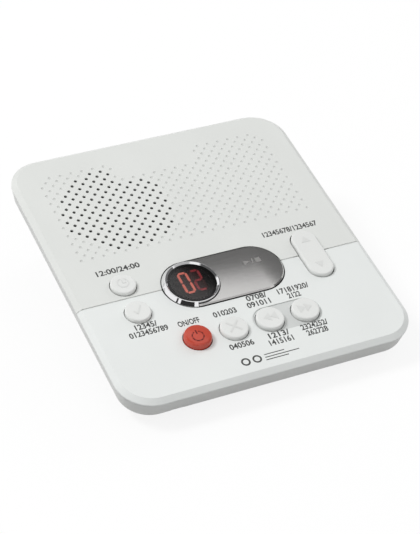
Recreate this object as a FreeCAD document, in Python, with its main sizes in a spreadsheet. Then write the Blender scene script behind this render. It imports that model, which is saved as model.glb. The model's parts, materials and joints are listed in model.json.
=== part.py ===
# Table-top digital answering machine: a flat slab raised at the back on a wedge base.
#
# Two frames are used. The row frame stands on the table: +X right, front towards -Y, +Z up, origin under
# the middle of the whole machine. The slab frame lies in the top panel: its origin is the middle of the
# panel, X right, Y towards the back along the panel, Z square to the panel. Almost every piece is moulded
# or mounted square to the panel, so it is drawn in the slab frame and then tipped with it.
import FreeCAD, Part
import os
import re
import Sketcher
from FreeCAD import Rotation, Vector
from math import cos, hypot, pi, sqrt, tan

doc = FreeCAD.newDocument("AnsweringMachine")
sizes = doc.addObject("Spreadsheet::Sheet", "Sizes")
nodes = []

# ---------------------------------------------------------------- driving dimensions, mm and degrees
DRIVING = (
    # the slab
    ("tilt", 13, "slope of the panel"),
    ("front_gap", 3, "rim above the table at the front"),
    ("panel_width", 150.8, "flat top, side to side"),
    ("panel_depth", 165, "flat top, front to back"),
    ("panel_corner", 15, "corner radius of the flat top"),
    ("bevel_out", 2.7, "bevel outwards"),
    ("bevel_drop", 2, "bevel downwards"),
    ("cover_edge", 0.8, "upright edge under the bevel"),
    ("deck", 2.2, "wall of both covers"),
    ("lip_length", 2.7, "locating lip below the parting line"),
    ("lip_wall", 1.2, "lip thickness"),
    ("lip_gap", 0.15, "lip to case"),
    ("seam_y", -21.5, "middle of the display, the play bar and the rocker"),
    ("split_y", -20.2, "seam between the two covers"),
    ("seam_gap", 0.3, "width of the seam"),
    ("roll_drop", 0.4, "how far the front cover rolls down at the seam"),
    ("roll_reach", 13, "length of that roll"),
    ("tongue_reach", 5, "tongues of the front cover under the rear one"),
    ("tongue_wall", 1.2, "tongue thickness"),
    ("tongue_width", 9, "tongue width"),
    # the case
    ("part_gap", 0.3, "parting groove"),
    ("case_step", 0.15, "case inside the covers' edge"),
    ("case_wall", 2, "case wall"),
    ("case_floor", 2, "case floor"),
    ("case_draft", 12, "slope of the rim"),
    ("case_round", 6, "rounding under the rim"),
    ("case_inner_round", 4, "rounding inside the rim"),
    ("case_depth", 14.75, "panel plane to the underside of the slab"),
    ("base_width", 114, "wedge base, side to side"),
    ("base_front", -70, "wedge base, front wall"),
    ("base_rear", 70, "wedge base, rear wall"),
    ("base_corner", 12, "wedge base, corner radius"),
    ("base_height", 2, "base plane above the table"),
    ("foot_radius", 5.5, "rubber foot"),
    ("foot_sunk", 0.8, "foot in its recess"),
    ("foot_gap", 0.2, "foot to recess"),
    ("foot_side", 11, "foot inside the base, sideways"),
    ("foot_inset", 12, "foot inside the base, lengthways"),
    # case screws
    ("screw_x", 66, "case screws, from the middle"),
    ("screw_front", -64, "front pair"),
    ("screw_middle", -30, "middle pair"),
    ("screw_rear", 64, "rear pair"),
    ("post_radius", 4, "case post"),
    ("boss_radius", 3.2, "cover boss"),
    ("boss_end", 8, "depth of the cover bosses"),
    ("boss_gap", 0.1, "boss to post"),
    ("screw_seat", 3, "wall under a case screw's head"),
    ("head_radius", 2.8, "case screw head"),
    ("head_tall", 2, "case screw head"),
    ("shank_radius", 1.35, "case screw thread"),
    ("shank_long", 7.4, "case screw thread"),
    ("thread_gap", 0.05, "screw to its pilot hole"),
    ("pilot_spare", 0.4, "pilot hole beyond the screw's end"),
    ("drill_gap", 0.4, "screw to a clearance hole"),
    # keys
    ("key_radius", 6.5, "white keys at the left"),
    ("row_radius", 7.05, "white keys of the front row"),
    ("key_rise", 2, "white key above the panel"),
    ("key_round", 0.9, "edge rounding of a key"),
    ("key_gap", 0.4, "key to its hole"),
    ("power_radius", 6.95, "red key"),
    ("power_edge", 3, "edge of the red key's dome above the panel"),
    ("power_rise", 4, "top of the red key's dome"),
    ("power_round", 1.9, "edge rounding of the red key"),
    ("flange_out", 1, "flange beyond the key"),
    ("flange_wall", 1, "flange thickness"),
    ("rest_gap", 0.1, "flange to deck at rest"),
    ("stem_radius", 2.4, "stem under a key"),
    ("row_x", -30, "first key of the front row"),
    ("row_pitch", 19.4, "front row pitch"),
    ("row_y", -55.1, "front row"),
    ("side_key_x", -50.75, "pair of keys at the left"),
    ("pair_half", 9.35, "half the pitch of that pair and of the rocker"),
    ("recess_deep", 0.35, "shallow recess joining the last two keys"),
    ("recess_half", 8.4, "half its width"),
    # display and play bar
    ("display_x", -17.9, "middle of the display"),
    ("window_radius", 12.3, "display window"),
    ("window_wall", 1.2, "display window thickness"),
    ("window_top", 1.4, "display window above the panel"),
    ("window_ledge", 0.5, "ledge of the ring under the window"),
    ("ring_radius", 15.1, "chromed ring, outside; also the play bar's end"),
    ("ring_rise", 2.1, "crest of the ring above the panel"),
    ("ring_crest", 13.55, "middle of the ring's crest"),
    ("ring_top", 0.4, "width of the crest"),
    ("ring_foot", 0.15, "outer edge of the ring above the panel"),
    ("ring_side", 13.8, "ring beside the play bar"),
    ("ring_gap", 0.1, "window to ring"),
    ("ring_round", 0.15, "rounding of the crest"),
    ("bar_gap", 0.5, "ring and play bar to the covers"),
    ("bar_ring_gap", 0.35, "play bar to ring"),
    ("bar_x", 16.4, "middle of the play bar's round end"),
    ("bar_rise", 1.2, "play bar above the panel"),
    ("bar_below", 1.3, "play bar below the panel"),
    ("bar_edge", 0.7, "bevel of the play bar"),
    ("bar_tip", -2.5, "blunt ends of the play bar, from the display's middle"),
    ("bar_post_left", 5, "left post of the play bar"),
    ("bar_post_right", 25, "right post of the play bar"),
    ("bar_post_radius", 2, "posts of the play bar"),
    ("bar_collar", 3, "snap collar on a post"),
    ("collar_wall", 0.7, "snap collar thickness"),
    ("post_gap", 0.3, "post to its hole"),
    # volume rocker
    ("rocker_x", 49.1, "volume rocker"),
    ("rocker_radius", 6.7, "round ends of the rocker"),
    ("rocker_gap", 0.5, "rocker to the covers"),
    ("rocker_below", 3, "underside of the rocker"),
    ("hub_wide", 10, "hub under the rocker"),
    ("hub_deep", 5, "hub under the rocker"),
    ("axle_depth", 4.6, "rocker axis below the panel"),
    ("axle_radius", 1, "rocker trunnions"),
    ("axle_half", 9.4, "half length over the trunnions"),
    ("axle_gap", 0.06, "trunnion in its bearing"),
    ("cheek_inner", 7.9, "bearing cheek, inner face"),
    ("cheek_wall", 1.8, "bearing cheek"),
    ("cheek_deep", 5.2, "bearing cheek, front to back"),
    ("cheek_end", 6.4, "bearing cheek, lower end below the panel"),
    ("snap_wide", 1.7, "snap slot under the bearing"),
    ("nub_radius", 2, "nubs under the rocker's ends"),
    # chassis plate
    ("frame_left", -36, "chassis plate, left edge"),
    ("frame_right", 59.5, "chassis plate, right edge"),
    ("frame_half", 18, "half its depth"),
    ("frame_wall", 1.2, "its thickness"),
    ("frame_corner", 4, "its corners"),
    ("frame_window", 11.6, "hole under the window"),
    ("stake_left", -33, "left heat stakes"),
    ("stake_right", 38, "right heat stakes"),
    ("stake_half", 15, "stakes from the seam"),
    ("stake_radius", 1, "heat stake"),
    ("stake_gap", 0.1, "heat stake to its hole"),
    ("stake_head", 1.9, "melted head"),
    ("stake_head_wall", 0.8, "melted head"),
    # keypad
    ("dome_depth", 5, "tops of the rubber domes below the panel"),
    ("dome_radius", 2.8, "top of a dome"),
    ("dome_skirt", 4.6, "skirt of a dome"),
    ("dome_step", 1, "skirt above the mat"),
    ("dome_hollow", 3.6, "hollow under a dome"),
    ("dome_hollow_tall", 1.3, "hollow under a dome"),
    ("mat_depth", 7.2, "top of the mat below the panel"),
    ("mat_wall", 1, "mat thickness"),
    ("mat_half", 59, "half the mat's width"),
    ("mat_front", -65.5, "mat, front edge"),
    ("mat_rear", -3, "mat, rear edge"),
    ("board_wall", 1.6, "circuit boards"),
    ("key_board_half", 60, "half the key board's width"),
    ("key_board_front", -66.5, "key board, front edge"),
    ("key_board_rear", 3.5, "key board, rear edge"),
    ("board_corner", 2, "circuit board corners"),
    ("stand_radius", 3, "stand-offs under the covers"),
    ("stand_gap", 0.4, "mat to a stand-off"),
    ("stand_side", 54, "outer front stand-offs"),
    ("stand_front", -61, "outer front stand-offs"),
    ("stand_mid_x", -0.9, "middle front stand-off"),
    ("stand_mid_y", -43.5, "middle front stand-off"),
    ("stand_rear_left", -44, "rear left stand-off"),
    ("stand_rear_right", 30, "rear right stand-off"),
    ("stand_rear_y", 0, "rear stand-offs"),
    ("small_head", 2.4, "small screw head"),
    ("small_head_tall", 1.3, "small screw head"),
    ("small_shank", 1.1, "small screw thread"),
    ("small_long", 4.6, "small screw under its head"),
    ("led_side", 6.2, "lamps beside the red key's dome"),
    ("led_wide", 1.6, "lamp"),
    ("led_deep", 1.2, "lamp"),
    ("led_tall", 1.8, "lamp"),
    # display module
    ("module_width", 13, "display module"),
    ("module_depth", 14.9, "display module"),
    ("module_face", 1, "face of the module below the panel"),
    ("module_back", 2, "module behind the middle of the window"),
    ("module_right", 1.25, "module to the right of the middle of the window"),
    ("digit_tall", 14.2, "digit height"),
    ("digit_wide", 5.4, "digit width"),
    ("digit_pitch", 6.5, "digit pitch"),
    ("bar_wide", 1.2, "segment width"),
    ("bar_space", 0.2, "space between segments"),
    ("bar_proud", 0.15, "segments above the face"),
    # speaker
    ("speaker_x", -33, "middle of the speaker"),
    ("speaker_y", 39, "middle of the speaker"),
    ("hole_radius", 0.9, "grille hole"),
    ("hole_step", 3, "half the grille's pitch"),
    ("hole_left", 0.74, "hole nearest the speaker's middle, to its left"),
    ("hole_back", 0.76, "hole nearest the speaker's middle, behind it"),
    ("grille_radius", 29.14, "holes lie within this circle"),
    ("bare_left", 6.8, "place without holes, from the speaker's middle"),
    ("bare_front", 17.3, "place without holes, from the speaker's middle"),
    ("speaker_radius", 30, "speaker frame"),
    ("gasket_wall", 0.8, "gasket"),
    ("gasket_ring", 1.3, "gasket width"),
    ("flange_thick", 1, "speaker flange"),
    ("basket_wall", 0.7, "speaker basket"),
    ("basket_deep", 9.6, "speaker basket below its flange"),
    ("basket_foot", 19.2, "basket at the magnet"),
    ("basket_window", 3, "windows in the basket"),
    ("coil_radius", 7.4, "voice coil"),
    ("coil_wall", 0.4, "voice coil"),
    ("coil_long", 3.4, "voice coil"),
    ("cone_wall", 0.4, "paper cone"),
    ("cone_deep", 7, "paper cone"),
    ("surround", 3.7, "flat surround"),
    ("cap_radius", 8.3, "dust cap"),
    ("cap_tall", 2.4, "dust cap"),
    ("plate_radius", 14.5, "front pole plate"),
    ("plate_wall", 1, "front pole plate"),
    ("magnet_radius", 16, "ring magnet"),
    ("magnet_hole", 8.8, "ring magnet"),
    ("magnet_tall", 5, "ring magnet"),
    ("yoke_wall", 2, "back plate"),
    ("pole_radius", 6.5, "pole"),
    ("pole_gap", 0.5, "pole plate to voice coil"),
    ("speaker_wall_gap", 0.3, "speaker to its locating wall"),
    ("speaker_wall", 1.2, "locating wall under the rear cover"),
    ("speaker_wall_tall", 1.7, "locating wall under the rear cover"),
    ("clamp_reach", 3.3, "clamp screws beyond the speaker"),
    ("clamp_boss", 2.6, "clamp screw boss"),
    ("clamp_head", 4.2, "clamp screw head"),
    ("clamp_head_tall", 1, "clamp screw head"),
    ("clamp_long", 2.6, "clamp screw"),
    ("tag_wide", 9, "terminal strip"),
    ("tag_tall", 5, "terminal strip"),
    ("tag_wall", 1, "terminal strip"),
    # main board
    ("main_depth", 10.8, "top of the main board below the panel"),
    ("main_left", -6.5, "main board"),
    ("main_right", 60.5, "main board"),
    ("main_front", 6, "main board"),
    ("main_rear", 67, "main board"),
    ("main_inset_left", 4.5, "left screws from the edge"),
    ("main_inset_right", 3, "right screws from the edge"),
    ("main_inset_y", 5, "screws from the front and rear edges"),
    ("main_shank", 3.3, "main board screw"),
    # sockets at the rear
    ("line_x", 9, "line socket"),
    ("phone_x", 25, "telephone socket"),
    ("jack_width", 13.2, "modular socket"),
    ("jack_depth", 13.8, "modular socket, inside the case"),
    ("jack_tall", 12.4, "modular socket"),
    ("jack_gap", 0.2, "socket to the rear wall"),
    ("nose_width", 12.4, "socket in the wall"),
    ("nose_top", 15, "top of the socket in the wall, below the panel"),
    ("nose_tall", 9.4, "socket in the wall"),
    ("nose_gap", 0.3, "wall opening round a socket"),
    ("nose_back", 0.1, "socket inside the outer face"),
    ("mouth_width", 9.7, "plug opening"),
    ("mouth_tall", 6.6, "plug opening"),
    ("mouth_rim", 1.2, "rim over the plug opening"),
    ("mouth_deep", 11, "plug opening"),
    ("catch_wide", 3.4, "latch groove"),
    ("catch_deep", 0.8, "latch groove"),
    ("contact_pitch", 1.27, "socket contacts"),
    ("contact_wide", 0.45, "socket contact"),
    ("contact_long", 7.5, "socket contact"),
    ("dc_x", 38, "power socket"),
    ("dc_width", 9.2, "power socket"),
    ("dc_depth", 10.8, "power socket"),
    ("dc_tall", 11.4, "power socket"),
    ("dc_axis", 19.6, "power socket axis below the panel"),
    ("dc_nose", 4, "power socket nose"),
    ("dc_bore", 2.85, "power socket bore"),
    ("dc_deep", 9.4, "power socket bore depth"),
    ("dc_pin", 1, "power socket pin"),
    ("dc_pin_back", 1.4, "pin inside the mouth"),
    # battery bay, in the row frame
    ("bay_left", 2, "inner left end of the bay"),
    ("bay_y", 22, "middle of the bay"),
    ("bay_half", 14, "half the bay's width"),
    ("bay_tall", 18, "bay height above the door"),
    ("bay_wall", 2, "bay walls"),
    ("door_thick", 2, "door"),
    ("door_tongue", 0.9, "tongue of the door"),
    ("door_tongue_out", 1.2, "tongue beyond the door"),
    ("door_gap", 0.2, "door in its grooves"),
    ("rail_out", 4, "rails beyond the bay"),
    ("rail_tall", 4, "rails above the base plane"),
    ("grip_wide", 12, "finger grooves"),
    ("grip_deep", 0.6, "finger grooves"),
    ("grip_pitch", 2.4, "finger grooves"),
    ("snap_wall", 1.5, "battery snap"),
    ("snap_deep", 25, "battery snap"),
    ("snap_tall", 12, "battery snap"),
    ("snap_lift", 3, "battery snap above the door"),
    ("stud_radius", 3, "battery studs"),
    ("stud_tall", 2.4, "battery studs"),
    ("stud_half", 6.35, "half the stud pitch"),
    ("lead_radius", 0.6, "inside leads"),
    ("lead_hole", 2.4, "hole for the battery leads"),
    # microphone
    ("mic_side", 24.2, "microphone, from the panel's left edge"),
    ("mic_inset", 5.7, "microphone boot behind the covers' front edge"),
    ("mic_long", 6.5, "microphone boot"),
    ("mic_boot", 4.2, "microphone boot"),
    ("mic_radius", 3, "microphone capsule"),
    ("mic_capsule", 5, "microphone capsule length"),
    ("mic_face", 0.8, "boot's face over the capsule"),
    ("mic_gap", 0.05, "capsule in its boot"),
    ("mic_floor_gap", 0.05, "boot to the floor and the ribs"),
    ("mic_rib", 1.2, "cradle ribs"),
    ("mic_lead_pitch", 4, "between the microphone's two leads"),
    ("mic_lead_side", 4.8, "where the nearer lead is soldered, from the front left stand-off"),
    ("notch_width", 7.2, "sound notch in the rim"),
    ("notch_top", 11.2, "top of the notch below the panel"),
    ("notch_deep", 8, "notch, front to back"),
    # ribbon cable
    ("ribbon_x", 5, "ribbon cable, left edge"),
    ("ribbon_wide", 15, "ribbon cable"),
    ("ribbon_wall", 0.6, "ribbon cable"),
    ("ribbon_front", 0.5, "where it leaves the key board"),
    ("ribbon_rear", 9, "where it meets the main board"),
    ("ribbon_top", 6.2, "top of its arch below the panel"),
    # parts on the main board
    ("chip_x", 26, "processor"),
    ("chip_y", 28, "processor"),
    ("chip_side", 14, "processor"),
    ("chip_tall", 2.2, "processor"),
    ("leg_out", 1.6, "chip legs"),
    ("leg_wide", 0.45, "chip legs"),
    ("leg_pitch", 1, "chip legs"),
    ("memory_x", 45, "memory"),
    ("memory_y", 26, "memory"),
    ("memory_wide", 7.5, "memory"),
    ("memory_deep", 12.8, "memory"),
    ("memory_tall", 2.3, "memory"),
    ("coil_x", 15, "line transformer"),
    ("coil_y", 54, "line transformer"),
    ("core_wide", 14, "line transformer core"),
    ("core_deep", 5, "line transformer core"),
    ("core_tall", 7.6, "line transformer core"),
    ("winding_wide", 9, "line transformer winding"),
    ("winding_deep", 11, "line transformer winding"),
    ("winding_tall", 6, "line transformer winding"),
    ("relay_x", 34, "line relay"),
    ("relay_y", 55, "line relay"),
    ("relay_wide", 9.8, "line relay"),
    ("relay_deep", 14.6, "line relay"),
    ("relay_tall", 7.2, "line relay"),
    ("film_x", 47, "film capacitor"),
    ("film_y", 58, "film capacitor"),
    ("film_wide", 12.5, "film capacitor"),
    ("film_deep", 5, "film capacitor"),
    ("film_tall", 7.6, "film capacitor"),
    ("arrester_x", 24.5, "surge arrester"),
    ("arrester_y", 50, "surge arrester"),
    ("arrester_radius", 2.4, "surge arrester"),
    ("arrester_long", 6, "surge arrester"),
    ("crystal_x", 8, "crystal"),
    ("crystal_y", 24, "crystal"),
    ("crystal_wide", 4.6, "crystal"),
    ("crystal_long", 10.6, "crystal"),
    ("crystal_tall", 3.5, "crystal"),
    ("can_radius", 2.5, "electrolytic capacitor"),
    ("can_tall", 7, "electrolytic capacitor"),
    ("can_near", 11, "nearer capacitor behind the crystal"),
    ("can_far", 17, "farther capacitor behind the crystal"),
    ("can_beside", 10, "two capacitors to the right of the memory chip"),
    ("can_behind", 3, "rear one of those two, from the chip's middle"),
    ("can_step", 7, "between those two"),
    ("can_round", 0.4, "electrolytic capacitor"),
    ("regulator_x", 52, "voltage regulator"),
    ("regulator_y", 44, "voltage regulator"),
    ("regulator_wide", 10, "voltage regulator"),
    ("regulator_deep", 8.6, "voltage regulator"),
    ("regulator_tall", 4.4, "voltage regulator"),
    ("sink_wide", 15, "heat sink"),
    ("sink_deep", 10, "heat sink"),
    ("sink_plate", 1.2, "heat sink plate"),
    ("sink_fin", 0.9, "heat sink fin"),
    ("sink_tall", 2, "heat sink fins"),
)
for line, (name, value, note) in enumerate(DRIVING, start=1):
    sizes.set(f"A{line}", name)
    sizes.set(f"B{line}", str(value))
    sizes.set(f"C{line}", note)
    sizes.setAlias(f"B{line}", name)
doc.recompute()

# ---------------------------------------------------------------- places worked out from them
PARTING = "(bevel_drop + cover_edge)"
HALF_WIDE = "(panel_width / 2 + bevel_out)"
HALF_DEEP = "(panel_depth / 2 + bevel_out)"
CASE_TOP = f"({PARTING} + part_gap)"
LIP_INSET = f"(case_step + case_wall + lip_gap + lip_length * tan(case_draft))"
# the panel's middle above the table, and how far it lies from the middle of the whole machine
LIFT = (f"(front_gap + ({HALF_DEEP} - (case_depth - {PARTING}) * tan(case_draft)) * sin(tilt)"
        " + case_depth * cos(tilt))")
FAR_BELOW = f"(0 - 2 * {LIFT})"
MIC_X = "(mic_side - panel_width / 2)"
MIC_FRONT = f"(mic_inset - {HALF_DEEP})"
FRONT_REACH = f"({HALF_DEEP} * cos(tilt) - bevel_drop * sin(tilt))"
REAR_REACH = (f"(({HALF_DEEP} - case_step - (case_depth - case_round - {CASE_TOP}) * tan(case_draft))"
              " * cos(tilt) + (case_depth - case_round) * sin(tilt))")
SHIFT = f"(({FRONT_REACH} - {REAR_REACH}) / 2)"
BOARD_TOP = "(mat_depth + mat_wall)"
FRAME_UNDER = "(deck + frame_wall)"
SPEAKER_TOP = "(deck + gasket_wall)"
BASE_INNER = "(base_rear - case_wall)"
DOOR_TOP = "(base_height + door_thick)"
BAY_FLOOR = f"({DOOR_TOP} + door_gap / 2)"
BOARD_UNDER = "(main_depth + board_wall)"


def formula(text):
    """A size expression, with each name pointed at its cell in the sheet."""
    return re.sub(r"\b(?!(?:sin|cos|tan|atan|sqrt)\b)[a-z][a-z_]*", r"Sizes.\g<0>", str(text))


def number(text):
    """The present value of a size expression."""
    return float(sizes.evalExpression(formula(text)))


def bind(thing, prop, text):
    """Ties one property of an object to the sheet."""
    thing.setExpression(prop, formula(text))


def place(thing, x, y, z):
    """Ties an object's position to the sheet."""
    for axis, text in zip("xyz", (x, y, z)):
        bind(thing, f"Placement.Base.{axis}", text)


def row_y(y, z):
    """Row-frame Y of a slab-frame point."""
    return f"({SHIFT} + ({y}) * cos(tilt) - ({z}) * sin(tilt))"


def row_z(y, z):
    """Row-frame Z of a slab-frame point."""
    return f"({LIFT} + ({y}) * sin(tilt) + ({z}) * cos(tilt))"


def slab_y(y, z):
    """Slab-frame Y of a row-frame point."""
    return f"((({y}) - {SHIFT}) * cos(tilt) + (({z}) - {LIFT}) * sin(tilt))"


def slab_z(y, z):
    """Slab-frame Z of a row-frame point."""
    return f"((({z}) - {LIFT}) * cos(tilt) - (({y}) - {SHIFT}) * sin(tilt))"


def base_y(y):
    """Row-frame Y where a line square to the panel at slab Y meets the base plane."""
    fall = f"((base_height - {LIFT} - ({y}) * sin(tilt)) / cos(tilt))"
    return row_y(y, fall)


def keep(thing, label):
    """Gives a finished piece its name."""
    thing.Label = label
    nodes.append(thing)
    return thing


def seat(thing, label, x="0", y="0", z="0"):
    """Tips a piece with the slab, its own origin at a point of the slab frame."""
    thing.Placement.Rotation = Rotation(Vector(1, 0, 0), number("tilt"))
    bind(thing, "Placement.Rotation.Angle", "tilt")
    place(thing, x, row_y(y, z), row_z(y, z))
    return keep(thing, label)


# ---------------------------------------------------------------- sketches
def sketch(body, name, plane="XY", level="0"):
    """An empty sketch on one of the body's own planes, raised to a level."""
    drawing = body.newObject("Sketcher::SketchObject", name)
    support = next(part for part in body.Origin.OriginFeatures if part.Role == plane + "_Plane")
    drawing.AttachmentSupport = [(support, "")]
    drawing.MapMode = "FlatFace"
    bind(drawing, "AttachmentOffset.Base.z", level)
    return drawing


def rule(drawing, kind, *picks, text):
    """One dimension of a sketch, tied to the sheet."""
    index = drawing.addConstraint(Sketcher.Constraint(kind, *picks, number(text)))
    drawing.setExpression(f"Constraints[{index}]", formula(text))


def pin(drawing, item, end, x, y):
    """Holds one point of a sketch at x, y."""
    rule(drawing, "DistanceX", -1, 1, item, end, text=x)
    rule(drawing, "DistanceY", -1, 1, item, end, text=y)


def circle(drawing, x, y, radius):
    """A circle, its middle and radius dimensioned."""
    middle = Vector(number(x), number(y), 0)
    item = drawing.addGeometry(Part.Circle(middle, Vector(0, 0, 1), number(radius)))
    pin(drawing, item, 3, x, y)
    rule(drawing, "Radius", item, text=radius)


def outline(drawing, points):
    """A closed outline. A point is (x, y), or (x, y, radius) where an arc leads on to the next one:
    with a radius above 0 the arc turns left, below 0 it turns right."""
    spots = [Vector(number(point[0]), number(point[1]), 0) for point in points]
    count = len(points)
    first, last, items = [], [], []
    for here, point in enumerate(points):
        start, end = spots[here], spots[(here + 1) % count]
        if len(point) == 2:
            items.append(drawing.addGeometry(Part.LineSegment(start, end)))
            first.append(1)
            last.append(2)
            continue
        radius = number(point[2])
        left = radius > 0
        if not left:
            start, end = end, start
        chord = end - start
        reach = sqrt(max(radius * radius - chord.Length ** 2 / 4, 0))
        middle = (start + end) / 2 + Vector(-chord.y, chord.x, 0).normalize() * reach
        turn = [Vector(1, 0, 0).getAngle(spot - middle) for spot in (start, end)]
        turn = [angle if spot.y >= middle.y else -angle for angle, spot in zip(turn, (start, end))]
        ring = Part.Circle(middle, Vector(0, 0, 1), abs(radius))
        items.append(drawing.addGeometry(Part.ArcOfCircle(ring, turn[0], turn[1])))
        first.append(1 if left else 2)
        last.append(2 if left else 1)
    for here in range(count):
        after = (here + 1) % count
        drawing.addConstraint(Sketcher.Constraint("Coincident", items[here], last[here],
                                                  items[after], first[after]))
    for here, point in enumerate(points):
        pin(drawing, items[here], first[here], point[0], point[1])
        if len(point) == 3:
            text = point[2].lstrip("-")
            rule(drawing, "Radius", items[here], text=text)


def rounded(drawing, x, y, half_wide, half_deep, radius):
    """A rectangle with round corners about x, y: four corner arcs joined by tangent lines."""
    across = [f"({x}) + ({half_wide}) - ({radius})", f"({x}) - ({half_wide}) + ({radius})"]
    along = [f"({y}) + ({half_deep}) - ({radius})", f"({y}) - ({half_deep}) + ({radius})"]
    centres = [(across[0], along[0]), (across[1], along[0]), (across[1], along[1]), (across[0], along[1])]
    tangent_loop(drawing, centres, radius)


def slot(drawing, x, y, half_wide, half_deep, radius):
    """A slot with round ends: the ends' middles lie half_wide and half_deep from x, y."""
    centres = [(f"({x}) + ({half_wide})", f"({y}) + ({half_deep})"),
               (f"({x}) - ({half_wide})", f"({y}) - ({half_deep})")]
    tangent_loop(drawing, centres, radius)


def tangent_loop(drawing, centres, radius):
    """Equal arcs round the centres, taken to the left, joined by tangent lines."""
    count = len(centres)
    middles = [Vector(number(x), number(y), 0) for x, y in centres]
    size = number(radius)
    outward = []
    for here in range(count):
        run = (middles[(here + 1) % count] - middles[here]).normalize()
        outward.append(Vector(run.y, -run.x, 0) * size)
    base = drawing.GeometryCount
    for here, middle in enumerate(middles):
        ends = [outward[here - 1], outward[here]]
        turn = [Vector(1, 0, 0).getAngle(end) * (1 if end.y >= 0 else -1) for end in ends]
        ring = Part.Circle(middle, Vector(0, 0, 1), size)
        drawing.addGeometry(Part.ArcOfCircle(ring, turn[0], turn[1]))
        follow = middles[(here + 1) % count]
        drawing.addGeometry(Part.LineSegment(middle + outward[here], follow + outward[here]))
    for here in range(count):
        arc, line, after = base + 2 * here, base + 2 * here + 1, base + 2 * ((here + 1) % count)
        drawing.addConstraint(Sketcher.Constraint("Tangent", arc, 2, line, 1))
        drawing.addConstraint(Sketcher.Constraint("Tangent", line, 2, after, 1))
        pin(drawing, arc, 3, *centres[here])
        if here:
            drawing.addConstraint(Sketcher.Constraint("Equal", base, arc))
    rule(drawing, "Radius", base, text=radius)


# ---------------------------------------------------------------- features of a body
def new_body(name):
    return doc.addObject("PartDesign::Body", name)


def pad(body, drawing, length, down=False, taper=None):
    """Material from the sketch, upwards or down."""
    feature = body.newObject("PartDesign::Pad", drawing.Name + "_pad")
    feature.Profile = drawing
    feature.Reversed = down
    bind(feature, "Length", length)
    if taper:
        bind(feature, "TaperAngle", f"0 - ({taper})")
    return feature


def pocket(body, drawing, length=None, up=False):
    """Material taken away from the sketch downwards or up, right through if no length is given."""
    feature = body.newObject("PartDesign::Pocket", drawing.Name + "_cut")
    feature.Profile = drawing
    feature.Reversed = up
    if length:
        bind(feature, "Length", length)
    else:
        feature.Type = "ThroughAll"
    return feature


def turn(body, name, points):
    """A solid of revolution about the body's Z axis, from an outline of (radius, height)."""
    drawing = sketch(body, name, "XZ")
    outline(drawing, points)
    feature = body.newObject("PartDesign::Revolution", name + "_turn")
    feature.Profile = drawing
    feature.ReferenceAxis = (drawing, ["V_Axis"])
    feature.Angle = 360
    return feature


def soften(body, radius, height, reach=None, kind="Fillet"):
    """Rounds or bevels the edges that lie at one height, within reach of the body's Z axis if given."""
    doc.recompute()
    level = number(height)
    limit = number(reach) if reach else None
    picks = []
    for index, edge in enumerate(body.Tip.Shape.Edges, start=1):
        box = edge.BoundBox
        flat = abs(box.ZMin - level) < 1e-4 and abs(box.ZMax - level) < 1e-4
        near = limit is None or max(abs(box.XMin), abs(box.XMax), abs(box.YMin), abs(box.YMax)) < limit
        if flat and near:
            picks.append(f"Edge{index}")
    blank = body.Tip
    feature = body.newObject(f"PartDesign::{kind}", f"{body.Name}_{kind}")
    feature.Base = (blank, picks)
    bind(feature, "Radius" if kind == "Fillet" else "Size", radius)
    return feature


# ---------------------------------------------------------------- primitives and booleans
def block(name, x, y, z):
    """A box from pairs of limits."""
    box = doc.addObject("Part::Box", name)
    for prop, (low, high) in zip(("Length", "Width", "Height"), (x, y, z)):
        bind(box, prop, f"({high}) - ({low})")
    place(box, x[0], y[0], z[0])
    return box


def level_block(name, x, y, z):
    """A box square to the table, given in the row frame and drawn in the slab frame."""
    box = block(name, x, y, z)
    box.Placement.Rotation = Rotation(Vector(1, 0, 0), -number("tilt"))
    bind(box, "Placement.Rotation.Angle", "0 - tilt")
    place(box, x[0], slab_y(y[0], z[0]), slab_z(y[0], z[0]))
    return box


def rod(name, x, y, z, radius):
    """An upright cylinder between two heights."""
    cylinder = doc.addObject("Part::Cylinder", name)
    bind(cylinder, "Radius", radius)
    bind(cylinder, "Height", f"({z[1]}) - ({z[0]})")
    place(cylinder, x, y, z[0])
    return cylinder


def cross_rod(name, x, y, z, radius):
    """A cylinder that runs from front to back between two values of Y."""
    cylinder = doc.addObject("Part::Cylinder", name)
    bind(cylinder, "Radius", radius)
    bind(cylinder, "Height", f"({y[1]}) - ({y[0]})")
    cylinder.Placement.Rotation = Rotation(Vector(1, 0, 0), -90)
    place(cylinder, x, y[0], z)
    return cylinder


def fuse(name, parts):
    whole = doc.addObject("Part::MultiFuse", name)
    whole.Shapes = parts
    whole.Refine = True
    return whole


def cut(name, base, tool):
    rest = doc.addObject("Part::Cut", name)
    rest.Base = base
    rest.Tool = tool
    rest.Refine = True
    return rest


def common(name, first, second):
    shared = doc.addObject("Part::Common", name)
    shared.Base = first
    shared.Tool = second
    shared.Refine = True
    return shared


def group(name, parts):
    """Separate solids kept together as one piece."""
    bundle = doc.addObject("Part::Compound", name)
    bundle.Links = parts
    return bundle


def copies(name, pattern, places):
    """Identical pieces at several points of the slab frame, kept together."""
    doc.recompute()
    items = []
    for index, (x, y, z) in enumerate(places, start=1):
        item = doc.addObject("Part::Feature", f"{name}_{index}")
        item.Shape = pattern.Shape.copy()
        place(item, x, y, z)
        items.append(item)
    return group(name, items)


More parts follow.
